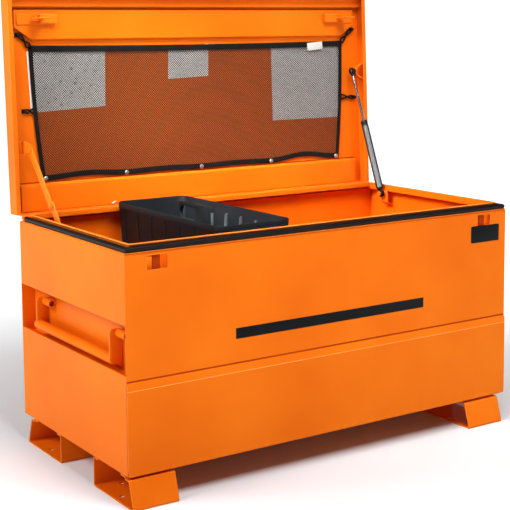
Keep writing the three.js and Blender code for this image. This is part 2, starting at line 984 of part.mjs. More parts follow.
// Elastic loops from the net's edge to a hook on the lid
const loopPlaces = [
  { name: "top_left", side: -1, share: 0, reach: 33, lift: 36, seatShare: 0.45 },
  { name: "top_right", side: 1, share: 0, reach: 46, lift: 43, seatShare: 0.7 },
  { name: "mid_left", side: -1, share: 0.47, reach: 30, lift: 0, seatShare: 1 },
  { name: "mid_right", side: 1, share: 0.43, reach: 58, lift: -18, seatShare: 1 },
];

function loopEnds(place) {
  const widthAt = netTopHalf - net.taper * place.share;
  const u = lidRearU - netTop + netLength * place.share;
  const start = [place.side * (widthAt + gap + netCord.radius * place.seatShare), u];
  return { start, end: [start[0] + place.side * place.reach, u - place.lift] };
}

function netLoop(place) {
  const { start, end } = loopEnds(place);
  const v = panelV - net.behind - net.thickness / 2;
  const run = new THREE.Vector2(end[0] - start[0], end[1] - start[1]);
  const turn = Math.atan2(run.y, run.x);
  const length = run.length() - netCord.loop;
  const points = [];
  for (let i = 0; i <= netCord.steps; i++) {
    const a = (i / netCord.steps) * Math.PI * 2;
    const along = length / 2 + (length / 2) * Math.cos(a);
    const across = netCord.loop * 0.5 * Math.sin(a);
    points.push(new THREE.Vector3(along, across, 0));
  }
  points.pop();
  const route = new THREE.CatmullRomCurve3(points, true);
  const shape = new THREE.Shape().absarc(0, 0, netCord.radius, 0, Math.PI * 2);
  const ring = new THREE.ExtrudeGeometry(shape, {
    steps: netCord.steps,
    extrudePath: route,
    curveSegments: netCord.sides,
    bevelEnabled: false,
  });
  return ring.rotateZ(turn).translate(start[0], start[1], v);
}

// The hook that a loop goes over: a plate on the lid's panel with a headed post
function netHook(place) {
  const { end } = loopEnds(place);
  const turn = (place.side * hook.plate[0]) / 4;
  const top = panelV - gap;
  const [wide, tall] = hook.plate;
  const x = end[0] + turn;
  const plate = block(
    x - wide / 2,
    x + wide / 2,
    end[1] - tall / 2,
    end[1] + tall / 2,
    top - hook.gauge,
    top,
  );
  const post = new THREE.CylinderGeometry(hook.radius, hook.radius, hook.reach, 12)
    .rotateX(Math.PI / 2)
    .translate(x, end[1], top - hook.gauge - hook.reach / 2 + gap);
  const head = new THREE.CylinderGeometry(hook.radius * 1.8, hook.radius * 1.8, hook.gauge, 12)
    .rotateX(Math.PI / 2)
    .translate(x, end[1], top - hook.gauge - hook.reach);
  return join(plate, post, head);
}

// Gas strut, made standing on its lower pivot
const strutPlane = half - strut.fromEnd;
const strutLower = [deep - strut.bodyPivot[0], topZ - strut.bodyPivot[1]];
const strutUpper = fromLid(-strut.lidPivot[0], strut.lidPivot[1]);
const strutLength = Math.hypot(strutUpper[0] - strutLower[0], strutUpper[1] - strutLower[1]);
const strutLean = Math.atan2(strutUpper[0] - strutLower[0], strutUpper[1] - strutLower[1]);

// The near face of the brackets that carry the strut's studs
const strutWebX = strutPlane + strut.cylinderRadius + 2 * gap;

// A point of the closed lid, where the open lid takes it
function fromLid(u, v) {
  const c = Math.cos(open);
  const s = Math.sin(open);
  return [hingeY + u * c + v * s, hingeZ - u * s + v * c];
}

function strutCylinder() {
  const z0 = strut.eyeRadius + gap + strut.wall;
  const z1 = strut.cylinder;
  const rodHole = strut.rodRadius + strut.rodRunning;
  const profile = [
    [0, z0],
    [strut.cylinderRadius * 0.8, z0],
    [strut.cylinderRadius, z0 + strut.wall],
    [strut.cylinderRadius, z1 - strut.wall],
    [strut.cylinderRadius * 0.8, z1],
    [rodHole, z1],
    [rodHole, z1 - strut.cap],
    [strut.bore, z1 - strut.cap],
    [strut.bore, z0 + strut.wall],
    [0, z0 + strut.wall],
  ].map(([r, y]) => new THREE.Vector2(r, y));
  return new THREE.LatheGeometry(profile, 20).rotateX(Math.PI / 2);
}

function strutRod() {
  const top = strutLength - strut.eyeRadius - gap - strut.wall;
  const low = strut.cylinder - strut.overlap;
  const profile = [
    [0, low],
    [strut.bore - strut.rodRunning, low],
    [strut.bore - strut.rodRunning, low + strut.piston],
    [strut.rodRadius, low + strut.piston],
    [strut.rodRadius, top],
    [0, top],
  ].map(([r, y]) => new THREE.Vector2(r, y));
  return new THREE.LatheGeometry(profile, 16).rotateX(Math.PI / 2);
}

// The eye at one end of the strut, with its neck towards the other end
function strutEye(at, towards, bored) {
  const neckEnd = at + towards * (strut.eyeRadius + strut.wall);
  const neck = new THREE.CylinderGeometry(
    strut.neckRadius,
    strut.neckRadius,
    Math.abs(neckEnd - at),
    16,
  )
    .rotateX(Math.PI / 2)
    .translate(0, 0, (at + neckEnd) / 2);
  const w = strut.eyeWidth / 2;
  const eye = join(neck, rodAlongX(strut.eyeRadius, -w, w, 0, at, 20));
  if (!bored) return eye;
  return cut(eye, rodAlongX(strut.studRadius + gap, -w - overrun, w + overrun, 0, at, 16));
}

// The stud at the lid end turns with the rod and stops short of the lid's bracket
function strutUpperStud() {
  const from = -strut.eyeWidth / 2 - strut.wall;
  const to = strutWebX - strutPlane - gap;
  const pin = rodAlongX(strut.studRadius - gap, from, to, 0, strutLength);
  const head = rodAlongX(strut.studRadius * 1.4, from - gap, from + strut.wall - gap, 0, strutLength);
  return join(pin, head);
}

// The bracket on the box's right end, with the strut's lower stud on it
function strutLowerBracket() {
  const wallX = half - sheet - gap;
  const g = strut.bracketGauge;
  const [y, z] = strutLower;
  const drop = strut.eyeRadius * 3;
  const profile = foldedSheet(
    [
      [wallX, z - 2.5 * drop],
      [wallX, z - 1.5 * drop],
      [strutWebX + g, z - drop],
      [strutWebX + g, z + strut.eyeRadius],
    ],
    g,
    foldRadius * 1.5,
  );
  const plate = alongY(profile, y - strut.bracketWidth / 2, y + strut.bracketWidth / 2);
  const stud = rodAlongX(
    strut.studRadius,
    strutPlane - strut.eyeWidth / 2 - strut.wall,
    strutWebX + g / 2,
    y,
    z,
  );
  const head = rodAlongX(
    strut.studRadius * 1.4,
    strutPlane - strut.eyeWidth / 2 - strut.wall,
    strutPlane - strut.eyeWidth / 2 - gap,
    y,
    z,
  );
  const collar = rodAlongX(
    strut.studRadius * 1.4,
    strutPlane + strut.eyeWidth / 2 + gap,
    strutWebX + g / 2,
    y,
    z,
  );
  return join(plate, stud, head, collar);
}

// The hat-shaped bracket on the lid's right flange
function strutUpperBracket() {
  const wallX = lidHalf - sheet - gap;
  const [u, v] = [-strut.lidPivot[0], strut.lidPivot[1]];
  const g = strut.bracketGauge;
  const run = strut.eyeRadius;
  const profile = foldedSheet(
    [
      [wallX, u - 4.5 * run],
      [wallX, u - 3 * run],
      [strutWebX + g, u - 1.2 * run],
      [strutWebX + g, u + 1.2 * run],
      [wallX, u + 3 * run],
      [wallX, u + 4.5 * run],
    ],
    g,
    foldRadius * 1.5,
  );
  return alongZ(profile, v - run, v + run);
}

// Folding stay on the left
const stayLid = fromLid(-stay.lidPivot[0], stay.lidPivot[1]);
const stayKnee = [deep - stay.knee[0], topZ + stay.knee[1]];
const stayBody = [deep - stay.bodyPivot[0], topZ - stay.bodyPivot[1]];
const upperArmX = -lidHalf + stay.fromEnd + stay.bracketGauge / 2 + gap;
const lowerArmX = upperArmX + stay.gauge + gap;

function stayUpperArm() {
  const bar = alongX(barOutline(stayKnee, stayLid, stay.width / 2), upperArmX, upperArmX + stay.gauge);
  const far = upperArmX + stay.gauge;
  const hole = rodAlongX(stay.rivetRadius + gap, upperArmX - overrun, far + overrun, ...stayKnee);
  const head = rodAlongX(stay.headRadius, far - stay.gauge / 2, far + stay.head, ...stayLid);
  return join(cut(bar, hole), head);
}

function stayLowerArm() {
  const bar = alongX(barOutline(stayBody, stayKnee, stay.width / 2), lowerArmX, lowerArmX + stay.gauge);
  const far = lowerArmX + stay.gauge;
  const hole = rodAlongX(stay.rivetRadius + gap, lowerArmX - overrun, far + overrun, ...stayBody);
  return cut(bar, hole);
}

// The rivet of the knee is fast in the lower arm and turns in the upper one
function stayRivet() {
  const outerFace = upperArmX - gap;
  const innerFace = lowerArmX - gap / 2;
  const shank = rodAlongX(stay.rivetRadius, outerFace - stay.head, innerFace, ...stayKnee);
  const head = rodAlongX(stay.headRadius, outerFace - stay.head, outerFace, ...stayKnee);
  return join(shank, head);
}

function stayBodyBracket() {
  const wallX = -half + sheet + gap;
  const g = stay.bracketGauge;
  const webX = upperArmX - gap;
  const [y, z] = stayBody;
  const run = stay.width;
  const profile = foldedSheet(
    [
      [webX - g, z + 0.8 * run],
      [webX - g, z - 0.9 * run],
      [wallX, z - 1.5 * run],
      [wallX, z - 2.5 * run],
    ],
    g,
    foldRadius * 1.5,
  );
  const plate = alongY(profile, y - stay.bracketWidth / 2, y + stay.bracketWidth / 2);
  const far = lowerArmX + stay.gauge + gap;
  const pin = rodAlongX(stay.rivetRadius, webX - g / 2, far + stay.head, y, z);
  const shoulder = rodAlongX(stay.headRadius, webX - g / 2, lowerArmX - gap, y, z);
  const head = rodAlongX(stay.headRadius, far, far + stay.head, y, z);
  return join(plate, pin, shoulder, head);
}

function stayLidBracket() {
  const wallX = -lidHalf + sheet + gap;
  const g = stay.bracketGauge;
  const webX = upperArmX - gap;
  const [u, v] = [-stay.lidPivot[0], stay.lidPivot[1]];
  const seat = panelV - gap;
  const profile = foldedSheet(
    [
      [wallX, seat],
      [wallX, seat - stay.width],
      [webX - g, seat - 1.4 * stay.width],
      [webX - g, v - stay.width / 2],
    ],
    g,
    foldRadius * 1.5,
  );
  const whole = alongY(profile, u - stay.bracketWidth / 2, u + stay.bracketWidth / 2);
  // The tab narrows towards the pivot
  const [inner, outer] = [webX - 3 * g, webX + g];
  const corner = [-1, 1].map((end) =>
    alongX(
      outline(
        [
          [u + (end * stay.bracketWidth) / 2 + end * overrun, lidBottomV],
          [u + (end * stay.bracketWidth) / 2, lidBottomV],
          [u + (end * stay.width) / 2, v - stay.width / 2 - overrun],
          [u + (end * stay.bracketWidth) / 2 + end * overrun, v - stay.width / 2 - overrun],
        ].slice(),
      ),
      inner,
      outer,
    ),
  );
  return cut(whole, ...corner);
}

// Tray: a tapered bin that hangs on the box's lip by its end lips
const trayTopZ = lipTopZ + tray.rise;
const trayBottomZ = trayTopZ - tray.height;
const trayHalfY = deep - lipInner - tray.lipClear;
const trayMiddleX = -tray.left + tray.width / 2;

function binSolid(inset, bottomZ, topZ2, draft, corner) {
  const wide = tray.width / 2 - inset;
  const long = trayHalfY - inset;
  const sections = [
    [draft, bottomZ],
    [0, topZ2],
  ].map(([d, z]) => {
    const shape = roundedRect(-wide + d, -long + d, wide - d, long - d, corner - inset);
    return shape.getPoints(4).map((p) => [p.x + trayMiddleX, p.y, z]);
  });
  return loft(sections);
}

// A solid between two sections of as many points
function loft([low, high]) {
  const n = low.length;
  const position = [...low, ...high].flat();
  const index = [];
  for (let i = 0; i < n; i++) {
    const j = (i + 1) % n;
    index.push(i, j, n + j, i, n + j, n + i);
  }
  const flat = low.map(([x, y]) => new THREE.Vector2(x, y));
  for (const [a, b, c] of THREE.ShapeUtils.triangulateShape(flat, [])) {
    index.push(a, c, b);
    index.push(n + a, n + b, n + c);
  }
  const geometry = new THREE.BufferGeometry();
  geometry.setAttribute("position", new THREE.Float32BufferAttribute(position, 3));
  geometry.setIndex(index);
  return geometry;
}

function trayShell() {
  const outer = binSolid(0, trayBottomZ, trayTopZ, tray.draft, tray.corner);
  const inner = binSolid(
    tray.wall,
    trayBottomZ + tray.floor,
    trayTopZ + overrun,
    tray.draft,
    tray.corner,
  );
  const lipZ = lipTopZ + gap;
  const reach = trayHalfY + tray.lipClear + tray.lipReach;
  const lips = [-1, 1].map((end) => {
    const x = tray.width / 2 - tray.corner;
    const [a, b] = [end * (trayHalfY - tray.wall), end * reach].sort((p, q) => p - q);
    return block(trayMiddleX - x, trayMiddleX + x, a, b, lipZ, lipZ + tray.lipGauge);
  });
  const walls = tray.wallShares.map((share) => {
    const x = tray.width / 2 - tray.wall / 2 - tray.draft;
    const y = share * trayHalfY;
    return block(
      trayMiddleX - x,
      trayMiddleX + x,
      y - tray.crossGauge / 2,
      y + tray.crossGauge / 2,
      trayBottomZ + tray.floor / 2,
      trayTopZ - trayHandle.footDrop,
    );
  });
  return join(cut(outer, inner), ...lips, ...walls);
}

// The raised handle along the middle of the tray, with an oval hand hole
function trayGrip() {
  const length = trayHandle.lengthShare * trayHalfY;
  const middle = trayHandle.atShare * trayHalfY;
  const top = trayTopZ + trayHandle.rise;
  const bottom = trayTopZ - trayHandle.footDrop + gap;
  const plate = new THREE.Shape(
    roundedRect(middle - length, bottom, middle + length, top, trayHandle.cap).getPoints(5),
  );
  const [wide, tall] = trayHandle.hole;
  const z = top - trayHandle.holeDrop - tall / 2;
  const hole = new THREE.Path();
  const y = trayHandle.holeAtShare * trayHalfY;
  hole.absarc(y + (wide - tall) / 2, z, tall / 2, -Math.PI / 2, Math.PI / 2);
  hole.absarc(y - (wide - tall) / 2, z, tall / 2, Math.PI / 2, Math.PI * 1.5);
  plate.holes.push(hole);
  const g = trayHandle.gauge / 2;
  return alongX(plate, trayMiddleX - g, trayMiddleX + g);
}

// Assembly
const chest = new THREE.Group();

piece("front_panel", frontPanel(), paint(), chest);
piece("back_panel", backPanel(), paint(), chest);
piece("floor_panel", floorPanel(), paint(), chest);
piece("rim_frame", rimFrame(), paint(), chest);
piece("rim_seal", rimSeal(), rubber(), chest);

// One end, and the same end turned over for the right
for (const [side, sign] of [
  ["left", 1],
  ["right", -1],
]) {
  const end = new THREE.Group();
  end.scale.x = sign;
  chest.add(end);
  piece(side + "_end_panel", endPanel(), paint(), end);
  piece(side + "_handle", handleBail(), paint(), end);
  piece(side + "_handle_sleeve_front", pivotSleeve(-1), paint(), end);
  piece(side + "_handle_sleeve_rear", pivotSleeve(1), paint(), end);
  piece(side + "_lock_housing", lockHousing(-sign), paint(), chest);
  piece(side + "_lock_bar", lockUpright(-sign), steel(), chest);
}

for (const [place, x, turned] of [
  ["front_left", -half, false],
  ["front_right", half - skid.rightInset - skid.length, false],
  ["rear_left", -half, true],
  ["rear_right", half - skid.rightInset - skid.length, true],
]) {
  const foot = piece("skid_" + place, skidChannel(), paint(), chest);
  foot.position.x = x;
  if (turned) {
    foot.scale.y = -1;
    foot.position.y = -skid.rearInset;
  }
}

const bodyLeaf = piece("hinge_leaf_body", hingeLeaf(0), darkSteel(), chest);
bodyLeaf.position.set(0, hingeY, hingeZ);
piece("hinge_pin", hingePin(), steel(), chest);

const lidGroup = new THREE.Group();
lidGroup.position.set(0, hingeY, hingeZ);
lidGroup.rotation.x = -open;
chest.add(lidGroup);
const lidLeaf = piece("hinge_leaf_lid", hingeLeaf(1), darkSteel(), lidGroup);
lidLeaf.scale.z = -1;
piece("lid_shell", lidShell(), paint(), lidGroup);
piece("lid_front_channel", lidFrontChannel(), paint(), lidGroup);
piece("lid_rear_channel", lidRearChannel(), paint(), lidGroup);
piece("lid_tongue_left", lidTongue(-1), paint(), lidGroup);
piece("lid_tongue_right", lidTongue(1), paint(), lidGroup);
piece("lid_net", lidNet(), webbing(), lidGroup);
snapPlaces().forEach((x, i) => piece("net_snap_" + (i + 1), netSnap(x), steel(), lidGroup));
for (const place of loopPlaces) {
  piece("net_loop_" + place.name, netLoop(place), webbing(), lidGroup);
  piece("net_hook_" + place.name, netHook(place), darkSteel(), lidGroup);
}
piece("strut_upper_bracket", strutUpperBracket(), paint(), lidGroup);
piece("stay_lid_bracket", stayLidBracket(), paint(), lidGroup);

const strutGroup = new THREE.Group();
strutGroup.position.set(strutPlane, ...strutLower);
strutGroup.rotation.x = -strutLean;
chest.add(strutGroup);
piece("strut_cylinder", strutCylinder(), darkSteel(), strutGroup);
piece("strut_rod", strutRod(), steel(), strutGroup);
piece("strut_lower_eye", strutEye(0, 1, true), darkSteel(), strutGroup);
piece("strut_upper_eye", strutEye(strutLength, -1, true), darkSteel(), strutGroup);
piece("strut_upper_stud", strutUpperStud(), darkSteel(), strutGroup);
piece("strut_lower_bracket", strutLowerBracket(), paint(), chest);

piece("stay_upper_arm", stayUpperArm(), paint(), chest);
piece("stay_lower_arm", stayLowerArm(), paint(), chest);
piece("stay_knee_rivet", stayRivet(), darkSteel(), chest);
piece("stay_body_bracket", stayBodyBracket(), paint(), chest);

piece("tray_shell", trayShell(), plastic(), chest);
piece("tray_grip", trayGrip(), plastic(), chest);

// The origin is on the floor under the middle of the open box
const box = new THREE.Box3().setFromObject(chest, true);
const middle = box.getCenter(new THREE.Vector3());
chest.position.set(-middle.x, -middle.y, -box.min.z);

const root = new THREE.Group();
root.add(chest);

export default root;
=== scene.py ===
import json
import math
import random

import bmesh
import bpy
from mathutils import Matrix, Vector


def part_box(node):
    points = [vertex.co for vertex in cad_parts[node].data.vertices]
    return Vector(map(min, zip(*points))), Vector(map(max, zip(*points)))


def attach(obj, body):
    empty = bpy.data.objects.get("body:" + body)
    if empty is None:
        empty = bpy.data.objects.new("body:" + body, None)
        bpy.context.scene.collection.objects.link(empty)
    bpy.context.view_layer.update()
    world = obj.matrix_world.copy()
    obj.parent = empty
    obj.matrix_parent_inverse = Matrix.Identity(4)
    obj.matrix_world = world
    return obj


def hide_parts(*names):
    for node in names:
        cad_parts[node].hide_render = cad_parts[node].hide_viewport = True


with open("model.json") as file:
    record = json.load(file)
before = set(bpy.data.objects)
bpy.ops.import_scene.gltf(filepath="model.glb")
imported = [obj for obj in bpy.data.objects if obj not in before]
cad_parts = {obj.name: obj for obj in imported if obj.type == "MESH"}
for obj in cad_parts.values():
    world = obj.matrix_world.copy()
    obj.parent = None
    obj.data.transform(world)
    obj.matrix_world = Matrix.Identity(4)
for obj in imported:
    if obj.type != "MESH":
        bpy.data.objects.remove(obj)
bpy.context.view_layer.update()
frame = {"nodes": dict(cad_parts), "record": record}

# Millimetres in the text, metres in the scene
MM = 0.001
TAU = 2 * math.pi

# Places in the chest, from the middle of the body and the floor
HALF = 609.5
DEEP = 305
UPPER_FRONT_Y = -301
SEAL_Z = 613.2
LIP_TOP_Z = 631.3
HINGE_Y = 311
HINGE_Z = 620
LID_OPEN = math.radians(92.5)
# The solids stand in the middle of their own box, so the chest's middle lies off the origin
CHEST_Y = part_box("back_panel")[1].y / MM - DEEP


def at(x, y, z):
    """A place in the chest, in metres of the row frame."""
    return Vector((x, y + CHEST_Y, z)) * MM


def lid_level(u, v):
    """The lid's u, back from the hinge axis, and v, up from it when shut, as y and z."""
    c, s = math.cos(LID_OPEN), math.sin(LID_OPEN)
    return HINGE_Y + u * c + v * s, HINGE_Z - u * s + v * c


def on_lid(x, u, v):
    """A place in the lid, in metres of the row frame."""
    return at(x, *lid_level(u, v))


# Camera, fitted to the chest's corners; its shift keeps uprights parallel, as the photograph does
lens_data = bpy.data.cameras.new("camera")
camera = bpy.data.objects.new("camera", lens_data)
bpy.context.collection.objects.link(camera)
camera.location = (-1.9244, -2.8646, 1.1367)
camera.rotation_euler = [math.radians(a) for a in (83.429, 0.374, -33.604)]
lens_data.lens = 87.99
lens_data.sensor_width = 36
lens_data.shift_y = -0.17
bpy.context.scene.camera = camera


# Materials
def linear(code):
    """A colour of the screen, as six hex digits, in linear light."""
    parts = [int(code[i : i + 2], 16) / 255 for i in (0, 2, 4)]
    return tuple(c / 12.92 if c <= 0.04045 else ((c + 0.055) / 1.055) ** 2.4 for c in parts)


def colour(code):
    return (*linear(code), 1)


def grey(share):
    return (share, share, share, 1)


def add(tree, kind, settings=None, links=None):
    """One node, with its settings and what its sockets are fed from."""
    node = tree.nodes.new("ShaderNode" + kind)
    for key, value in (settings or {}).items():
        if isinstance(key, int) or key in node.inputs:
            node.inputs[key].default_value = value
        else:
            setattr(node, key, value)
    for key, source in (links or {}).items():
        tree.links.new(source, node.inputs[key])
    return node


def finish_named(name, settings):
    """A new material of that finish, its tree and its surface shader."""
    made = bpy.data.materials.new(name)
    made.use_nodes = True
    tree = made.node_tree
    tree.nodes.clear()
    surface = add(tree, "BsdfPrincipled", settings)
    add(tree, "OutputMaterial", links={"Surface": surface.outputs["BSDF"]})
    return made, tree, surface


def feed(tree, source, surface, socket):
    tree.links.new(source, surface.inputs[socket])


def ramp(tree, source, stops):
    """Colours or greys over a value."""
    node = add(tree, "ValToRGB", links={"Fac": source})
    scale = node.color_ramp
    while len(scale.elements) < len(stops):
        scale.elements.new(0.5)
    for element, (place, tone) in zip(scale.elements, stops):
        element.position = place
        element.color = tone
    return node.outputs["Color"]


def noise(tree, place, size, detail):
    """A value that drifts over about that many millimetres."""
    scale = {"Scale": 1 / (size * MM), "Detail": detail}
    return add(tree, "TexNoise", scale, {"Vector": place}).outputs["Fac"]


def relief(tree, surface, height, strength, depth, over=None):
    """Relief of that depth in millimetres, over the face's own normal or a given one."""
    links = {"Height": height} if over is None else {"Height": height, "Normal": over}
    bump = add(tree, "Bump", {"Strength": strength, "Distance": depth * MM}, links)
    feed(tree, bump.outputs["Normal"], surface, "Normal")


def powder_coated_steel(name, tone, light, dark, highlight_tone):
    """Folded sheet steel in a satin powder coat: even colour, slight orange peel, soft edges with
    a painted highlight on them.
    """
    settings = {"Metallic": 0.0, "IOR": 1.5, "Specular IOR Level": 0.08}
    made, tree, surface = finish_named(name, settings)
    place = add(tree, "TexCoord").outputs["Object"]
    # The coat's thickness drifts slowly, and its tone and gloss with it
    drift = noise(tree, place, 400, 3.0)
    tint = ramp(tree, drift, [(0.3, colour(dark)), (0.5, colour(tone)), (0.72, colour(light))])
    # Painted highlight: where the bevel normal turns away from the face, along edges, the colour
    # goes to a lighter orange
    edge = add(tree, "Bevel", {"samples": 6, "Radius": 2.6 * MM}).outputs["Normal"]
    face = add(tree, "NewGeometry").outputs["Normal"]
    turn = add(tree, "VectorMath", {"operation": "DOT_PRODUCT"}, {0: edge, 1: face})
    edge_highlight_mask = ramp(tree, turn.outputs["Value"], [(0.90, grey(0.6)), (0.985, grey(0.0))])
    paint = add(tree, "Mix", {"data_type": "RGBA", 7: colour(highlight_tone)}, {0: edge_highlight_mask, 6: tint})
    feed(tree, paint.outputs[2], surface, "Base Color")
    # Orange peel, about 2.5 mm from crest to crest
    relief(tree, surface, noise(tree, place, 2.5, 1.0), 0.05, 0.2, edge)
    feed(tree, ramp(tree, drift, [(0.2, grey(0.33)), (0.8, grey(0.42))]), surface, "Roughness")
    return made


def grained(name, settings, tones, grain, depth, strength, gloss=None):
    """Two tones that drift into each other, and a grain of that size and depth in millimetres."""
    made, tree, surface = finish_named(name, settings)
    place = add(tree, "TexCoord").outputs["Object"]
    broad = noise(tree, place, 60, 3.0)
    tint = ramp(tree, broad, [(0.3, colour(tones[0])), (0.7, colour(tones[1]))])
    feed(tree, tint, surface, "Base Color")
    relief(tree, surface, noise(tree, place, grain, 2.0), strength, depth)
    if gloss:
        spread = ramp(tree, broad, [(0.25, grey(gloss[0])), (0.75, grey(gloss[1]))])
        feed(tree, spread, surface, "Roughness")
    return made


# Its palest tone is the painted highlight along edges
orange_coat = powder_coated_steel(
    "powder-coated steel, orange", tone="E87715", light="EF801C", dark="DF6E11", highlight_tone="FFA050"
)
# Painted shade: a dark orange for lines where shade falls, in a lap of the sheet, along a flange's
# edge and on the lock bars
painted_shade_orange = grained(
    "painted shade, dark orange",
    {"IOR": 1.5, "Specular IOR Level": 0.1, "Roughness": 0.7},
    tones=("A83C06", "B24408"),
    grain=2.0,
    depth=0.05,
    strength=0.2,
)
# Painted highlight: a pale orange for strips along folds and hemmed edges
painted_highlight_orange = grained(
    "painted highlight, pale orange",
    {"IOR": 1.5, "Specular IOR Level": 0.2, "Roughness": 0.4},
    tones=("FFA04A", "FFA857"),
    grain=2.0,
    depth=0.05,
    strength=0.1,
)
# Skinned sponge rubber: a soft bulb that shows a dull highlight along its face
foam_rubber = grained(
    "sponge rubber, black",
    {"IOR": 1.45, "Specular IOR Level": 0.3},
    tones=("121110", "1A1817"),
    grain=2.2,
    depth=0.2,
    strength=0.4,
    gloss=(0.38, 0.5),
)
# Zinc plate: a metal's own gloss, slightly clouded
zinc_plate = grained(
    "zinc-plated steel",
    {"Metallic": 1.0},
    tones=("A9ADB2", "C6C9CC"),
    grain=1.4,
    depth=0.05,
    strength=0.2,
    gloss=(0.25, 0.4),
)
# Hard chrome on the strut's rod: bright and even
chrome = grained(
    "hard chrome",
    {"Metallic": 1.0},
    tones=("8B8C8E", "9C9D9F"),
    grain=2.0,
    depth=0.02,
    strength=0.1,
    gloss=(0.2, 0.28),
)
# Black enamel, sprayed: satin with soft highlights
black_enamel = grained(
    "black enamel",
    {"IOR": 1.5, "Specular IOR Level": 0.35},
    tones=("151618", "1C1E20"),
    grain=1.8,
    depth=0.05,
    strength=0.25,
    gloss=(0.28, 0.4),
)
# Moulded polyethylene: deep black with a fine leather-like grain
moulded_plastic = grained(
    "moulded polyethylene, black",
    {"IOR": 1.51, "Specular IOR Level": 0.17},
    tones=("191D20", "212528"),
    grain=1.6,
    depth=0.12,
    strength=0.4,
    gloss=(0.42, 0.58),
)
# The same plastic in a pale grey: a painted highlight on the inner ribs and the grip's front edge
painted_highlight_plastic = grained(
    "painted highlight, grey plastic",
    {"IOR": 1.51, "Specular IOR Level": 0.3},
    tones=("5A5C5E", "6E7072"),
    grain=1.6,
    depth=0.08,
    strength=0.3,
    gloss=(0.5, 0.6),
)
# Woven polyester tape: matt black with a coarse weave
tape = grained(
    "woven polyester tape",
    {"IOR": 1.5, "Specular IOR Level": 0.15, "Sheen Weight": 0.04, "Roughness": 0.9},
    tones=("1A1817", "242120"),
    grain=1.2,
    depth=0.4,
    strength=0.6,
)
# Clay-coated paper, printed side away: plain, with a slight gloss
paper = grained(
    "coated paper, grey",
    {"IOR": 1.5},
    tones=("F0F0ED", "F8F8F5"),
    grain=3.0,
    depth=0.02,
    strength=0.2,
    gloss=(0.5, 0.65),
)
# Woven label: matt off-white
white_tape = grained(
    "woven label, white",
    {"IOR": 1.5, "Roughness": 0.8},
    tones=("C6C6C2", "D0D0CD"),
    grain=1.2,
    depth=0.1,
    strength=0.3,
)
# Painted reflection: an even satin grey band that stands for the highlight down the strut's
# cylinder
painted_reflection_grey = grained(
    "painted reflection, grey",
    {"IOR": 1.5, "Specular IOR Level": 0.3},
    tones=("696C6E", "757879"),
    grain=3.0,
    depth=0.02,
    strength=0.1,
    gloss=(0.45, 0.55),
)
# Vinyl film: a flat black that sits quietly on the orange coat
satin_film = grained(
    "satin vinyl film, black",
    {"IOR": 1.5, "Specular IOR Level": 0.15},
    tones=("121315", "17181B"),
    grain=1.5,
    depth=0.02,
    strength=0.15,
    gloss=(0.4, 0.5),
)

# The floor turns into white light between these distances from the chest, in metres
SWEEP_START, SWEEP_END, SWEEP_GLOW = 0.5, 2.8, 0.85


def painted_floor():
    """Matt pale paint that runs out into white light, as a studio sweep does."""
    made, tree, surface = finish_named("painted floor", {"IOR": 1.4, "Roughness": 0.75})
    surface.inputs["Base Color"].default_value = colour("E2E6EA")
    surface.inputs["Emission Color"].default_value = colour("FFFFFF")
    place = add(tree, "TexCoord").outputs["Object"]
    away = add(tree, "VectorMath", {"operation": "LENGTH"}, {0: place}).outputs["Value"]
    span = {"From Min": SWEEP_START, "From Max": SWEEP_END, "To Max": SWEEP_GLOW}
    reach = add(tree, "MapRange", span, {"Value": away})
    feed(tree, reach.outputs["Result"], surface, "Emission Strength")
    return made


# The knit's pitch in millimetres, and the shares of it where a thread is whole and where it ends
KNIT_PITCH = 5
THREAD_FULL, THREAD_GONE = 0.14, 0.18


def mesh_cloth():
    """Polyester mesh, knitted in diamonds: dark threads, open between them."""
    settings = {"IOR": 1.5, "Roughness": 0.85, "Sheen Weight": 0.2}
    made, tree, surface = finish_named("knitted polyester mesh", settings)
    surface.inputs["Base Color"].default_value = colour("17120F")
    place = add(tree, "TexCoord").outputs["Object"]
    lay = {"Rotation": (0, math.radians(45), 0), "Scale": (1 / (KNIT_PITCH * MM),) * 3}
    turn = add(tree, "Mapping", lay, {"Vector": place})
    axes = add(tree, "SeparateXYZ", links={"Vector": turn.outputs["Vector"]})
    span = {"From Min": THREAD_FULL, "From Max": THREAD_GONE, "To Min": 1.0, "To Max": 0.0}
    threads = {}
    for socket, axis in enumerate(("X", "Z")):
        away = add(tree, "Math", {"operation": "PINGPONG", 1: 0.5}, {0: axes.outputs[axis]})
        thread = add(tree, "MapRange", span, {"Value": away.outputs["Value"]})
        threads[socket] = thread.outputs["Result"]
    cover = add(tree, "Math", {"operation": "MAXIMUM"}, threads).outputs["Value"]
    feed(tree, cover, surface, "Alpha")
    relief(tree, surface, cover, 0.5, 0.4)
    return made


BY_SLOT = {
    "orange_paint": orange_coat,
    "seal_rubber": foam_rubber,
    "zinc_steel": zinc_plate,
    "dark_steel": black_enamel,
    "black_plastic": moulded_plastic,
    "webbing": tape,
}
# The lock bars take the painted shade, as they lie in the shade of their pockets; the knee's rivet
# is painted over
BY_NODE = {
    "left_lock_bar": painted_shade_orange,
    "right_lock_bar": painted_shade_orange,
    "stay_knee_rivet": orange_coat,
}
slot_of = {facts["node"]: facts["material_slot"] for facts in frame["record"]["subparts"]}
for name, node in frame["nodes"].items():
    if name in slot_of:
        node.data.materials.clear()
        node.data.materials.append(BY_NODE.get(name) or BY_SLOT[slot_of[name]])


# Ways of making a piece
def shown(name, mesh, material, body, stands_for=(), soft_edge=40):
    """A piece from a bmesh in metres: it rides on a body and may stand for CAD nodes."""
    bmesh.ops.recalc_face_normals(mesh, faces=mesh.faces[:])
    data = bpy.data.meshes.new(name)
    mesh.to_mesh(data)
    mesh.free()
    data.materials.append(material)
    data.shade_smooth()
    data.set_sharp_from_angle(angle=math.radians(soft_edge))
    made = bpy.data.objects.new(name, data)
    bpy.context.collection.objects.link(made)
    if stands_for:
        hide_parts(*stands_for)
    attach(made, body)
    return made


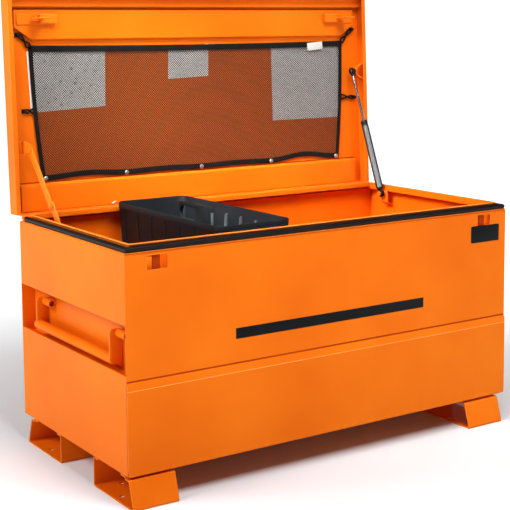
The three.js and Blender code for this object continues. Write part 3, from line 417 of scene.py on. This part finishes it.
def grid(rings, closed_round=True, closed_along=False, caps=False):
    """Faces between rings of as many points."""
    mesh = bmesh.new()
    rows = [[mesh.verts.new(p) for p in ring] for ring in rings]
    pairs = list(zip(rows, rows[1:])) + ([(rows[-1], rows[0])] if closed_along else [])
    count = len(rows[0])
    for low, high in pairs:
        for i in range(count if closed_round else count - 1):
            j = (i + 1) % count
            mesh.faces.new((low[i], low[j], high[j], high[i]))
    if caps:
        mesh.faces.new(rows[0][::-1])
        mesh.faces.new(rows[-1])
    return mesh


def turned(profile, place, sides, hollow=False):
    """A turned form: (radius, height) points about the axis that place(a, b, height) stands on."""
    turns = [TAU * i / sides for i in range(sides)]
    rings = [[place(r * math.cos(t), r * math.sin(t), h) for t in turns] for r, h in profile]
    return grid(rings, closed_along=hollow, caps=not hollow)


# Edges that turn by more than this, in degrees, are rounded in so many steps
SHARP_EDGE = 30
EDGE_STEPS = 2


def turn_of(edge):
    return edge.calc_face_angle(0) if len(edge.link_faces) == 2 else None


def soften(mesh, radius):
    """Rounds the mesh's sharp edges."""
    turns = [(edge, turn_of(edge)) for edge in mesh.edges]
    sharp = [edge for edge, turn in turns if turn and math.degrees(turn) > SHARP_EDGE]
    if radius:
        bmesh.ops.bevel(
            mesh,
            geom=sharp,
            offset=radius * MM,
            segments=EDGE_STEPS,
            profile=0.5,
            affect="EDGES",
            clamp_overlap=True,
        )
    return mesh


def slab(loops, low, high, place, radius):
    """A plate between two levels, its outline the first loop and its holes the others."""
    mesh = bmesh.new()
    for loop in loops:
        points = [mesh.verts.new(place(a, b, low)) for a, b in loop]
        for one, other in zip(points, points[1:] + points[:1]):
            mesh.edges.new((one, other))
    bmesh.ops.triangle_fill(mesh, use_beauty=True, edges=mesh.edges[:])
    lift = place(0, 0, high) - place(0, 0, low)
    raised = bmesh.ops.extrude_face_region(mesh, geom=mesh.faces[:])["geom"]
    moved = [v for v in raised if isinstance(v, bmesh.types.BMVert)]
    bmesh.ops.translate(mesh, verts=moved, vec=lift)
    turns = [(edge, turn_of(edge)) for edge in mesh.edges]
    flat = [edge for edge, turn in turns if turn is not None and turn < 0.001]
    bmesh.ops.dissolve_edges(mesh, edges=flat, use_verts=False)
    return soften(mesh, radius)


def block(x0, x1, y0, y1, z0, z1, place, radius):
    return slab([[(x0, y0), (x1, y0), (x1, y1), (x0, y1)]], z0, z1, place, radius)


def arc(x, y, radius, start, end, steps):
    turns = [math.radians(start + (end - start) * i / steps) for i in range(steps + 1)]
    return [(x + radius * math.cos(t), y + radius * math.sin(t)) for t in turns]


def rounded(x0, y0, x1, y1, radius, steps):
    """The outline of a rectangle with round corners."""
    return [
        *arc(x1 - radius, y1 - radius, radius, 0, 90, steps),
        *arc(x0 + radius, y1 - radius, radius, 90, 180, steps),
        *arc(x0 + radius, y0 + radius, radius, 180, 270, steps),
        *arc(x1 - radius, y0 + radius, radius, 270, 360, steps),
    ]


def merged(*meshes):
    """Several bmeshes as one."""
    whole = bmesh.new()
    for mesh in meshes:
        data = bpy.data.meshes.new("part")
        mesh.to_mesh(data)
        mesh.free()
        whole.from_mesh(data)
        bpy.data.meshes.remove(data)
    return whole


def along(points, radius, sides, closed=False):
    """A round cord or wire through points in metres."""
    count = len(points)
    turns = [TAU * k / sides for k in range(sides)]
    rings = []
    up = None
    for i, p in enumerate(points):
        before = points[i - 1] if (closed or i) else p
        after = points[(i + 1) % count] if (closed or i < count - 1) else p
        run = (after - before).normalized()
        if up is None:
            up = run.orthogonal().normalized()
        up = (up - run * up.dot(run)).normalized()
        side = run.cross(up)
        rings.append([p + (up * math.cos(t) + side * math.sin(t)) * radius * MM for t in turns])
    return grid(rings, closed_along=closed, caps=not closed)


def smooth_route(points, steps, closed=False):
    """A Catmull-Rom curve through points."""
    count = len(points)

    def point(i):
        return points[i % count] if closed else points[min(max(i, 0), count - 1)]

    route = []
    for i in range(count if closed else count - 1):
        a, b, c, d = point(i - 1), point(i), point(i + 1), point(i + 2)
        for k in range(steps):
            t = k / steps
            place = 2 * b + (c - a) * t
            place += (2 * a - 5 * b + 4 * c - d) * t * t
            place += (3 * b - a - 3 * c + d) * t**3
            route.append(0.5 * place)
    if not closed:
        route.append(points[-1])
    return route


# Mouth: a foam seal with a round crown, and a strip of painted highlight on the lip's hemmed edge,
# on the front and both ends
MOUTH_REAR_Y = DEEP - 22
SEAL_INSET, SEAL_WIDTH, SEAL_HEIGHT = 3.3, 18.4, 13.2
# (inset, height) points of the strip on the hem that carries the painted highlight
HEM_HIGHLIGHT_SECTION = [(21.4, -3.4), (21.15, -3.0), (21.15, -1.0), (21.4, -0.6)]


def seal_section():
    radius = SEAL_HEIGHT / 2 - 0.3
    back = SEAL_INSET + SEAL_WIDTH
    crown = arc(0, 0, radius, 215, 80, 12)
    return [
        (SEAL_INSET + 1.6, 0.3),
        *[(SEAL_INSET + 6.6 + a, SEAL_HEIGHT / 2 + b) for a, b in crown],
        (back - 5, SEAL_HEIGHT - 1.2),
        (back - 1.4, SEAL_HEIGHT - 2.6),
        (back, SEAL_HEIGHT - 4),
        (back, 0.3),
    ]


def round_mouth(section, level):
    """A strip round the front and both ends of the mouth, mitred at the front corners."""
    corners = [(-1, MOUTH_REAR_Y, 0), (-1, -DEEP, 1), (1, -DEEP, 1), (1, MOUTH_REAR_Y, 0)]
    rings = []
    for side, y, mitre in corners:
        rings.append([at(side * (HALF - a), y + a * mitre, level + h) for a, h in section])
    return grid(rings, caps=True)


seal = round_mouth(seal_section(), SEAL_Z)
shown("foam_seal", seal, foam_rubber, "box", ["rim_seal"], 50)
# The strip on the hem is a painted highlight
shown("rim_hem_highlight", round_mouth(HEM_HIGHLIGHT_SECTION, LIP_TOP_Z), painted_highlight_orange, "box")

# Handles: two flat arms, a tube cut square at its rear end, and pivot pins in welded sleeves
TROUGH_DEPTH = 38
# Faces that would touch keep this gap
TOUCH = 0.3
SLEEVE_R, SLEEVE_BORE_R, SLEEVE_LENGTH = 11, 7.3, 45
PIVOT_X = -HALF + TROUGH_DEPTH - TOUCH - SLEEVE_R
PIVOT_Z = 406
ARM_AT, ARM_HALF = 213, 2.5
ARM_IN, ARM_OUT, ARM_CORNER_R = 9.5, -25, 10.6
TUBE_R, TUBE_DROP = 13, 64
BEAD_R, BEAD_RIPPLE, BEAD_SIDES = 1.5, 1.6, 8


def by_pivot(side):
    """Places about a handle's pivot: a into the chest, b up and c back."""
    return lambda a, b, c: at(side * (PIVOT_X + a), c, PIVOT_Z + b)


def handle_arm(side, y):
    outline = [
        *arc(ARM_IN - ARM_CORNER_R, 0, ARM_CORNER_R, 0, 90, 5),
        *arc(ARM_OUT + ARM_CORNER_R, 0, ARM_CORNER_R, 90, 180, 5),
        *arc(ARM_OUT + 5, -65, 5, 180, 230, 3),
        (5.5, -84),
        (ARM_IN, -81),
    ]
    return slab([outline], y - ARM_HALF, y + ARM_HALF, by_pivot(side), 0.7)


def handle_bail(side):
    x, z = PIVOT_X - TUBE_R, PIVOT_Z - TUBE_DROP
    front, rear = -ARM_AT, ARM_AT + ARM_HALF + 12
    # Closed in front of its arm, open behind
    profile = [(9, front - 2), (12.4, front - 2.4), (TUBE_R, front - 1.6), (TUBE_R, rear - 0.6)]
    profile += [(12.4, rear), (11, rear), (10.4, rear - 0.6), (10.4, ARM_AT)]
    tube = turned(profile, lambda a, b, c: at(side * (x + a), c, z + b), 40)
    pins = []
    for end in (-1, 1):
        face = end * ARM_AT - ARM_HALF
        profile = [(6, face - 30), (7, face - 29), (7, face + 7.2), (5.6, face + 8)]
        pins.append(turned(profile, by_pivot(side), 24))
    return merged(tube, handle_arm(side, -ARM_AT), handle_arm(side, ARM_AT), *pins)


def sleeve_face(end):
    """Where the sleeve ends, in front of an arm."""
    return end * ARM_AT - (ARM_HALF + TOUCH)


def pivot_sleeve(side, end):
    rear = sleeve_face(end)
    front = rear - SLEEVE_LENGTH
    profile = [(SLEEVE_BORE_R, front), (10.4, front), (SLEEVE_R, front + 0.6)]
    profile += [(SLEEVE_R, rear - 0.6), (10.4, rear), (SLEEVE_BORE_R, rear)]
    return turned(profile, by_pivot(side), 32, hollow=True)


def weld_bead(start, end, seed):
    """A run of weld: small overlapping ripples."""
    rough = random.Random(seed)
    steps = max(2, round((end - start).length / (BEAD_RIPPLE * MM)))
    points = [start.lerp(end, i / steps) for i in range(steps + 1)]
    mesh = along(points, BEAD_R, BEAD_SIDES)
    for i, v in enumerate(mesh.verts):
        centre = points[min(i // BEAD_SIDES, steps)]
        v.co = centre + (v.co - centre) * (0.85 + 0.3 * rough.random())
    return mesh


def sleeve_beads(side, end):
    """The welds above and below a sleeve, where it meets the trough."""
    face, x = sleeve_face(end), side * (PIVOT_X + 10.2)
    return [
        weld_bead(at(x, face - 42, z), at(x, face - 3, z), round(face + z))
        for z in (PIVOT_Z - 7, PIVOT_Z + 7)
    ]


for side, word in ((1, "left"), (-1, "right")):
    body = word + "_handle"
    shown(word + "_handle_bail", handle_bail(side), orange_coat, body, [body])
    beads = []
    for end, end_word in ((-1, "front"), (1, "rear")):
        name = word + "_handle_sleeve_" + end_word
        sleeve = pivot_sleeve(side, end)
        shown(name + "_tube", sleeve, orange_coat, "box", [name])
        beads += sleeve_beads(side, end)
    shown(word + "_sleeve_welds", merged(*beads), orange_coat, "box")

# Gas strut: enamelled cylinder with a painted highlight band, chromed rod, moulded sockets on ball
# studs
STRUT_X = 565
STRUT_FOOT = (200, 605)
STRUT_HEAD = lid_level(-367, 23)
STRUT_RUN = (STRUT_HEAD[0] - STRUT_FOOT[0], STRUT_HEAD[1] - STRUT_FOOT[1])
STRUT_LENGTH = math.hypot(*STRUT_RUN)
# (radius, height) points: up the strut, out along a socket's neck, and across the strut
CYLINDER = [(8.6, 13.4), (10.3, 14.2), (11, 17), (11, 226), (10.1, 227.6), (10.1, 229.4)]
CYLINDER += [(11, 231), (11, 238.4), (10.2, 241), (8.8, 242), (6.4, 242), (6.4, 240.6)]
CYLINDER += [(4.6, 240.6)]
ROD = [(3.6, 208), (4, 208.6), (4, STRUT_LENGTH - 13)]
NECK = [(4.9, 15.4), (6.2, 14.6), (6.4, 10.5), (5.6, 9.6)]
STUD = [(3.2, -10), (5.6, -9.4), (6.2, -8.4), (5.6, -6.6), (4.4, -6.2), (4.4, 11.3)]
BALL_CAP = [(6.2, -5.6), (6.2, -6.2), (5.2, -7.2), (2.5, -8.0)]
BALL_R, CHEEK_AT = 11.4, 5.8
BALL_RINGS, BALL_SIDES = 12, 28
# The painted highlight band's turn round the axis and half its width in degrees, its two radii and
# its edges
HIGHLIGHT_TURN, HIGHLIGHT_HALF, HIGHLIGHT_STEP = 231.7, 36, 6
HIGHLIGHT_OUT_R, HIGHLIGHT_IN_R = 11.25, 10.9
HIGHLIGHT_LEVELS = (19, 19.4, 222.6, 223)


def on_strut(a, b, h):
    """A place a to the right of the strut's axis, b behind it and h up along it."""
    s, c = STRUT_RUN[0] / STRUT_LENGTH, STRUT_RUN[1] / STRUT_LENGTH
    return at(STRUT_X + a, STRUT_FOOT[0] + b * c + h * s, STRUT_FOOT[1] - b * s + h * c)


def across_strut(level):
    """Places about a line across the strut at a level, for what turns round a ball stud."""
    return lambda a, b, x: on_strut(x, a, level + b)


def strut_socket(level, towards):
    """A moulded socket: a short neck that swells into a ball housing with flat cheeks."""
    neck = turned(NECK, lambda a, b, h: on_strut(a, b, level + towards * h), 24)
    ball = []
    for i in range(1, BALL_RINGS):
        t = math.pi * i / BALL_RINGS
        ball.append((BALL_R * math.sin(t), max(-CHEEK_AT, min(CHEEK_AT, -BALL_R * math.cos(t)))))
    return merged(neck, turned(ball, across_strut(level), BALL_SIDES))


def strut_painted_highlight():
    """A painted highlight: a pale grey band round the side of the cylinder that faces out of the
    chest.
    """
    reach = range(-HIGHLIGHT_HALF, HIGHLIGHT_HALF + 1, HIGHLIGHT_STEP)
    turns = [math.radians(HIGHLIGHT_TURN + a) for a in reach]
    loop = [(HIGHLIGHT_OUT_R, t) for t in turns] + [(HIGHLIGHT_IN_R, t) for t in turns[::-1]]
    rings = [
        [on_strut(r * math.cos(t), r * math.sin(t), h) for r, t in loop] for h in HIGHLIGHT_LEVELS
    ]
    return grid(rings, caps=True)


cylinder = turned(CYLINDER, on_strut, 40)
shown("gas_cylinder", cylinder, black_enamel, "strut_cylinder", ["strut_cylinder"])
# The pale band on the cylinder is a painted highlight
shown("strut_painted_highlight", strut_painted_highlight(), painted_reflection_grey, "strut_cylinder", (), 30)
rod = turned(ROD, on_strut, 28)
shown("gas_rod", rod, chrome, "strut_rod", ["strut_rod"])
eye = strut_socket(0, 1)
shown("lower_socket", eye, moulded_plastic, "strut_cylinder", ["strut_lower_eye"])
eye = strut_socket(STRUT_LENGTH, -1)
shown("upper_socket", eye, moulded_plastic, "strut_rod", ["strut_upper_eye"])
for level, body in ((0, "strut_cylinder"), (STRUT_LENGTH, "strut_rod")):
    cap = turned(BALL_CAP, across_strut(level), 24)
    shown("ball_cap_%d" % round(level), cap, zinc_plate, body)
stud = turned(STUD, across_strut(STRUT_LENGTH), 24)
shown("upper_stud", stud, black_enamel, "strut_rod", ["strut_upper_stud"])

# Tray: a moulded bin with a thickened rim, ribs inside and out, low cross walls and a raised grip
TRAY_X, TRAY_HALF_X, TRAY_HALF_Y = -223.5, 111.5, 274
TRAY_BOTTOM, TRAY_TOP = 500.3, 646.3
TRAY_CORNER_R = 26
TRAY_DRAFT = 8
# Heights where the outer wall swells into the rim's band, and how far in from the band it is
BAND_STEPS = ((1.6, 627), (0.3, 629.5), (0, 631))
OUTER_RIB_PITCH, OUTER_RIB_TOP = 75, 628
INNER_RIB_Y = (180, 106, 32, -42, -116, -190)
INNER_RIB_TOP = 622
CROSS_WALL_SHARES = (-0.42, 0.16, 0.58)
CROSS_WALL_TOP, CROSS_WALL_HALF = 530.3, 1.5
# The lips at both ends that hang on the mouth's rim
LIP_HALF_X, LIP_Y, LIP_Z = 85.5, (271.2, 281.4), (631.7, 634.5)
# The grip across the tray, and its hand hole
GRIP_Y, GRIP_Z, GRIP_HALF, GRIP_CORNER_R = (-63, 126), (530.7, 660.2), 4.9, 14
HOLE_Y, HOLE_Z, HOLE_R, HOLE_REACH = 54.8, 631.3, 17, 25
# A small wire hook over the bin's rear left edge, in places of the chest
HOOK_ROUTE = [(-331, 276, 647), (-337, 277.5, 644.5), (-343, 279, 640), (-341, 279, 636.5)]


def in_tray(x, y, z):
    return at(TRAY_X + x, y, z)


def tray_draft(z):
    """How far the wall has drawn in at a height."""
    return TRAY_DRAFT * (TRAY_TOP - z) / (TRAY_TOP - TRAY_BOTTOM)


def tray_ring(inset, z):
    x, y = TRAY_HALF_X - inset, TRAY_HALF_Y - inset
    outline = rounded(-x, -y, x, y, max(TRAY_CORNER_R - inset, 4), 8)
    return [in_tray(a, b, z) for a, b in outline]


def wall_rib(side, y, width, root, crest, low, high, slope):
    """A rib up a long wall, from root to crest in from its outer face; slope narrows its top."""
    rings = []
    for z, reach in ((low, crest), (high, crest - slope)):
        ring = []
        for inset, end in ((root, -1), (root, 1), (reach, 1), (reach, -1)):
            x = side * (TRAY_HALF_X - tray_draft(z) - inset)
            ring.append(in_tray(x, y + end * width / 2, z))
        rings.append(ring)
    return soften(grid(rings, caps=True), 0.5)


def tray_shell():
    top, bottom, draft = TRAY_TOP, TRAY_BOTTOM, TRAY_DRAFT
    # (inset, height) points: up the outside, over the rim and down the inside
    section = [(draft + 5, bottom), (draft + 2.6, bottom + 1.2), (draft + 1.6, bottom + 4)]
    section += [(tray_draft(z) + step, z) for step, z in BAND_STEPS]
    section += [(0.3, top - 1.2), (0.9, top - 0.2), (1.7, top), (2.5, top - 0.2), (3.1, top - 1.2)]
    section += [(tray_draft(bottom + up) + step, bottom + up) for step, up in ((3, 8), (5, 4))]
    section += [(draft + 9, bottom + 3)]
    parts = [grid([tray_ring(*p) for p in section], caps=True)]
    for side in (-1, 1):
        for i in range(-3, 4):
            y = OUTER_RIB_PITCH * i
            parts.append(wall_rib(side, y, 5, 1.7, 0.4, bottom + 6, OUTER_RIB_TOP, 0))
    x = TRAY_HALF_X - draft - 1.5
    for share in CROSS_WALL_SHARES:
        y = share * TRAY_HALF_Y
        y0, y1 = y - CROSS_WALL_HALF, y + CROSS_WALL_HALF
        parts.append(block(-x, x, y0, y1, bottom + 1.5, CROSS_WALL_TOP, in_tray, 0.7))
    for end in (-1, 1):
        y0, y1 = sorted(end * y for y in LIP_Y)
        parts.append(block(-LIP_HALF_X, LIP_HALF_X, y0, y1, *LIP_Z, in_tray, 0.9))
    return merged(*parts)


def tray_grip():
    outline = rounded(GRIP_Y[0], GRIP_Z[0], GRIP_Y[1], GRIP_Z[1], GRIP_CORNER_R, 8)
    hole = arc(HOLE_Y + HOLE_REACH, HOLE_Z, HOLE_R, -90, 90, 12)
    hole += arc(HOLE_Y - HOLE_REACH, HOLE_Z, HOLE_R, 90, 270, 12)
    return slab([outline, hole], -GRIP_HALF, GRIP_HALF, lambda a, b, c: in_tray(c, a, b), 1.8)


def tray_ribs():
    """The stiffening ribs inside both long walls."""
    ribs = []
    for side in (-1, 1):
        for y in INNER_RIB_Y:
            ribs.append(wall_rib(side, y, 4.2, 2.6, 11, TRAY_BOTTOM + 2.5, INNER_RIB_TOP, 1.5))
    return merged(*ribs)


shown("tray_bin", tray_shell(), moulded_plastic, "tray", ["tray_shell"], 45)
# The inner ribs are coloured pale grey as a painted highlight
shown("tray_wall_ribs", tray_ribs(), painted_highlight_plastic, "tray", (), 45)
# A pale strip on the grip's front edge: a painted highlight
grip_edge_highlight = block(-4, 4, -63.2, -62.9, 546, 645, in_tray, 0.1)
shown("tray_grip_highlight", grip_edge_highlight, painted_highlight_plastic, "tray")
hook = along(smooth_route([at(*p) for p in HOOK_ROUTE], 5), 1.9, 10)
shown("tray_hook", hook, zinc_plate, "tray", (), 180)
shown("tray_hand_grip", tray_grip(), moulded_plastic, "tray", ["tray_grip"], 45)

# Storage net: fine polyester mesh with taped edges, snapped to the lid along its lower edge
NET_TOP_U, NET_BOTTOM_U = -466, -91
NET_TOP_X, NET_BOTTOM_X = 541, 517
NET_V = 43.9
NET_BOW = 5
NET_SAG = 4
NET_COLUMNS, NET_ROWS = 96, 36
SNAP_X = [-506, -253, 0, 253, 506]
SNAP_U = -97
# How far the lower edge rises between each snap and the next
RISES = [6, 2, 2, 12]
# Across a tape, as shares of its width and of its thickness
TAPE_SECTION = [(0.0, 0.3), (0.06, 0.5), (0.9, 0.5), (1.0, 0.2)]
TAPE_SECTION += [(a, -b) for a, b in TAPE_SECTION[::-1]]
TAPE_THICK = 1.3
LABEL_OUTLINE = [(402, -460), (461, -465), (463, -441), (404, -436)]
# (radius, v) points of a snap's domed cap and its stem
SNAP = [(0.4, 39.0), (3.4, 39.15), (5.6, 39.8), (6.8, 40.9)]
SNAP += [(7, 41.9), (6.6, 42.2), (3, 42.3), (3, 49.1)]


def net_point(across, down):
    """A place on the net: across from -1 to 1, and down from 0 at its upper edge to 1."""
    half = NET_TOP_X + (NET_BOTTOM_X - NET_TOP_X) * down
    x = across * (half + NET_BOW * math.sin(math.pi * down))
    # The upper edge sags between its corners, and the lower one rises between its snaps
    u = NET_TOP_U + (NET_BOTTOM_U - NET_TOP_U) * down
    u += NET_SAG * (1 - across * across) * (1 - down)
    snaps = (across * NET_BOTTOM_X / SNAP_X[-1] + 1) * 2
    rise = RISES[min(max(int(snaps), 0), len(RISES) - 1)]
    u -= rise * math.sin(math.pi * snaps) ** 2 * down**3
    slack = math.sin(math.pi * down) * (1 - abs(across) ** 3)
    ripple = math.sin(7.3 * across + 2.1 * down) * math.sin(5.1 * down + across)
    return on_lid(x, u, NET_V - 1.6 * slack + 0.7 * ripple * slack)


def net_row(down):
    return [net_point(2 * i / NET_COLUMNS - 1, down) for i in range(NET_COLUMNS + 1)]


def net_tape(steps, width, path):
    """A tape sewn along path(t), from its outer side towards the net's middle."""
    out = (on_lid(0, 0, 1) - on_lid(0, 0, 0)).normalized()
    middle = net_point(0, 0.5)
    points = [path(i / steps) for i in range(steps + 1)]
    rings = []
    for i, p in enumerate(points):
        run = points[min(i + 1, steps)] - points[max(i - 1, 0)]
        side = run.cross(out).normalized()
        if side.dot(middle - p) <= 0:
            side = -side
        wide, thick = side * width * MM, out * TAPE_THICK * MM
        rings.append([p + wide * a + thick * b for a, b in TAPE_SECTION])
    return grid(rings, caps=True)


net = grid([net_row(j / NET_ROWS) for j in range(NET_ROWS + 1)], closed_round=False)
storage_net = shown("storage_net", net, mesh_cloth(), "lid", ["lid_net"], 180)
for edge, steps, width, path in (
    ("top", 60, 17, lambda t: net_point(2 * t - 1, 0)),
    ("bottom", 120, 15, lambda t: net_point(2 * t - 1, 1)),
    ("left", 40, 12, lambda t: net_point(-1, t)),
    ("right", 40, 12, lambda t: net_point(1, t)),
):
    hem = net_tape(steps, width, path)
    shown("net_%s_tape" % edge, hem, tape, "lid")
label = slab([LABEL_OUTLINE], 41.2, 41.8, on_lid, 0.2)
shown("net_blank_label", label, white_tape, "lid")

for n, x in enumerate(SNAP_X, 1):
    name = "net_snap_%d" % n
    cap = turned(SNAP, lambda a, b, v: on_lid(x + a, SNAP_U + b, v), 28)
    shown(name + "_cap", cap, zinc_plate, "lid", [name])

# Elastic cords: a loop from the net's edge to each hook, as (x, u) of both its ends
LOOPS = {
    "top_left": ((-540.5, -465), (-566, -495)),
    "top_right": ((540.5, -465), (579.6, -502)),
    "mid_left": ((-534.5, -286), (-555, -286)),
    "mid_right": ((535, -286), (583.7, -282.8)),
}
# The strands leave the tape apart, cross halfway and go round the hook: the share of the way
# along, how far to the side, and how far towards the lid's panel they lie
STRANDS = [(0.0, 6.5, 0.54), (0.2, 5.0, 0.54), (0.5, 0.0, 2.7), (0.78, -4.4, 0.54)]
STRANDS += [(0.95, -3.8, 0.54), (1.0, 0.0, -0.48), (0.95, 3.8, -0.48), (0.78, 4.4, -0.48)]
STRANDS += [(0.5, 0.0, -2.4), (0.2, -5.0, -0.48), (0.0, -6.5, -0.48), (-0.06, 0.0, -0.48)]
LOOP_V, CORD_R = 43.0, 2.6
for name, (start, end) in LOOPS.items():
    start, end = Vector(start), Vector(end)
    run = end - start
    side = Vector((-run.y, run.x)).normalized()
    route = []
    for share, off, lift in STRANDS:
        place = start + run * share + side * off
        route.append(on_lid(place.x, place.y, LOOP_V + lift))
    cord = along(smooth_route(route, 6, closed=True), CORD_R, 8, closed=True)
    node = "net_loop_" + name
    shown(node + "_cord", cord, tape, "lid", [node], 180)

# Blank papers kept behind the net, as (x, u) corners
PAPERS = {
    "left": [(-544.5, -451), (-304, -459), (-310, -291), (-538.5, -281)],
    "middle": [(-97, -457), (41, -463), (38, -367), (-101, -362)],
    "right": [(269, -455), (536, -464), (526, -222), (268, -222)],
}
PAPER_V = (48.9, 49.3)
for name, outline in PAPERS.items():
    sheet = slab([outline], *PAPER_V, on_lid, 0)
    shown("paper_" + name, sheet, paper, "lid", (), 60)

# Front sheet: a bare plate and a stripe, a dark strip of painted shade in the lap above its
# ledge, a pale strip of painted highlight on the fold below it, and the folded corners that close
# the step to the end sheets
LEDGE_HALF = 608.5
LEDGE_SHADE_Z, FOLD_Z = (304.2, 308.4), (283.2, 285)
# Out of the upper front: where a film on it starts, and both faces of the painted highlight strip
# on the fold of the lower part
ON_SHEET, FOLD_OUT = 0.02, (3.98, 4.3)
CORNER_X, CORNER_Y, CORNER_Z = (607.6, 609.4), (-304.9, -300.6), (86, 300)


def on_front(x, z, out):
    return at(x, UPPER_FRONT_Y - out, z)


plate = slab([rounded(478, 525, 584, 572, 4, 6)], 0.05, 0.9, on_front, 0.3)
shown("blank_plate", plate, satin_film, "box")
stripe = slab([rounded(-304, 367, 304, 394, 1, 6)], ON_SHEET, 0.35, on_front, 0.1)
shown("front_stripe", stripe, satin_film, "box")
# A dark strip in the lap: painted shade
ledge_shade = block(-LEDGE_HALF, LEDGE_HALF, *LEDGE_SHADE_Z, ON_SHEET, 0.3, on_front, 0.1)
shown("ledge_painted_shade", ledge_shade, painted_shade_orange, "box")
# A pale strip on the fold: painted highlight
fold = block(-LEDGE_HALF, LEDGE_HALF, *FOLD_Z, *FOLD_OUT, on_front, 0.1)
shown("ledge_fold_highlight", fold, painted_highlight_orange, "box")
for side, word in ((-1, "left"), (1, "right")):
    x0, x1 = sorted(side * x for x in CORNER_X)
    corner = block(x0, x1, *CORNER_Y, *CORNER_Z, at, 0.5)
    shown("corner_fold_" + word, corner, orange_coat, "box")
# Painted shade: a dark strip along the edge of the rear channel's flange, on the lid's panel
flange_shade = block(-582, 582, -89.3, -85.5, 47.3, 47.58, on_lid, 0.1)
shown("lid_channel_painted_shade", flange_shade, painted_shade_orange, "lid")

# Small fasteners
BOLT_X, BOLT_Y, BOLT_Z = -604.6, (64, 80), 502
BOLT_R, BOLT_HEIGHT = 4.4, 3
RIVET_X = range(-552, 553, 96)
RIVET_R, RIVET_HEIGHT = 3.4, 1.4
# Rivets of the hinge: y and z of their seats on the box, u and v on the lid
BOX_LEAF, LID_LEAF = (307.3, 596), (-3.7, 24)


def bolt(place):
    """A hexagon head on a washer; place(a, b, c) has c out of the surface."""
    washer_profile = [(BOLT_R * 1.25, 0), (BOLT_R * 1.3, 0.3), (BOLT_R * 1.2, 0.9)]
    turns = [TAU * i / 6 for i in range(6)]
    corners = [(BOLT_R * math.cos(t), BOLT_R * math.sin(t)) for t in turns]
    return merged(turned(washer_profile, place, 24), slab([corners], 0.8, BOLT_HEIGHT, place, 0.5))


def rivets(place):
    """A row of domed rivets; place(a, b, c) has a along the row and b out of the surface."""
    shares = [(1, 0), (0.94, 0.45), (0.7, 0.8), (0.3, 1)]
    dome = [(RIVET_R * a, RIVET_HEIGHT * b) for a, b in shares]
    return merged(*[turned(dome, lambda a, b, c: place(x + a, c, b), 16) for x in RIVET_X])


bolts = [bolt(lambda a, b, c: at(BOLT_X + c, y + a, BOLT_Z + b)) for y in BOLT_Y]
shown("bracket_bolts", merged(*bolts), zinc_plate, "box")
box_rivets = rivets(lambda a, b, c: at(a, BOX_LEAF[0] + b, BOX_LEAF[1] + c))
shown("hinge_rivets_box", box_rivets, orange_coat, "box")
lid_rivets = rivets(lambda a, b, c: on_lid(a, LID_LEAF[0] + b, LID_LEAF[1] + c))
shown("hinge_rivets_lid", lid_rivets, orange_coat, "lid")

# Floor and light, in metres
FLOOR_HALF = 30
floor_mesh = bpy.data.meshes.new("floor")
turns = ((-1, -1), (1, -1), (1, 1), (-1, 1))
floor_mesh.from_pydata([(FLOOR_HALF * a, FLOOR_HALF * b, 0) for a, b in turns], [], [(0, 1, 2, 3)])
floor_mesh.materials.append(painted_floor())
floor = bpy.data.objects.new("floor", floor_mesh)
bpy.context.collection.objects.link(floor)


def soft_box(name, place, aim, size, power):
    """A square light that looks at a point."""
    data = bpy.data.lights.new(name, "AREA")
    data.size = size
    data.energy = power
    made = bpy.data.objects.new(name, data)
    made.location = place
    made.rotation_euler = (Vector(aim) - Vector(place)).to_track_quat("-Z", "Y").to_euler()
    bpy.context.collection.objects.link(made)
    return made


soft_box("key light", (-3.5, 0.1, 2.9), aim=(0, 0, 0.6), size=1.6, power=98)
soft_box("top light", (-0.2, -1.7, 3.2), aim=(0, 0.1, 0.4), size=1.4, power=77)
# A small box over the mouth, with a narrow throw, reaches the inner walls
mouth_light = soft_box("mouth light", (-0.9, -0.3, 1.75), aim=(0.4, 0.2, 0.25), size=0.5, power=4)
mouth_light.visible_camera = False
mouth_light.data.spread = math.radians(46)

world = bpy.data.worlds.new("studio")
bpy.context.scene.world = world
world.use_nodes = True
studio = world.node_tree
studio.nodes.clear()
# A white band along the horizon behind the floor, and a darker ceiling above it
way = add(studio, "TexCoord").outputs["Generated"]
height = add(studio, "SeparateXYZ", links={"Vector": way}).outputs["Z"]
ceiling = ramp(studio, height, [(0.0, grey(1.0)), (0.07, grey(1.0)), (0.18, grey(0.1))])
sky = add(studio, "Background", {"Strength": 1.0}, {"Color": ceiling})
add(studio, "OutputWorld", links={"Surface": sky.outputs["Background"]})
bpy.context.scene.view_settings.view_transform = "Standard"
bpy.context.scene.view_settings.look = "Medium High Contrast"
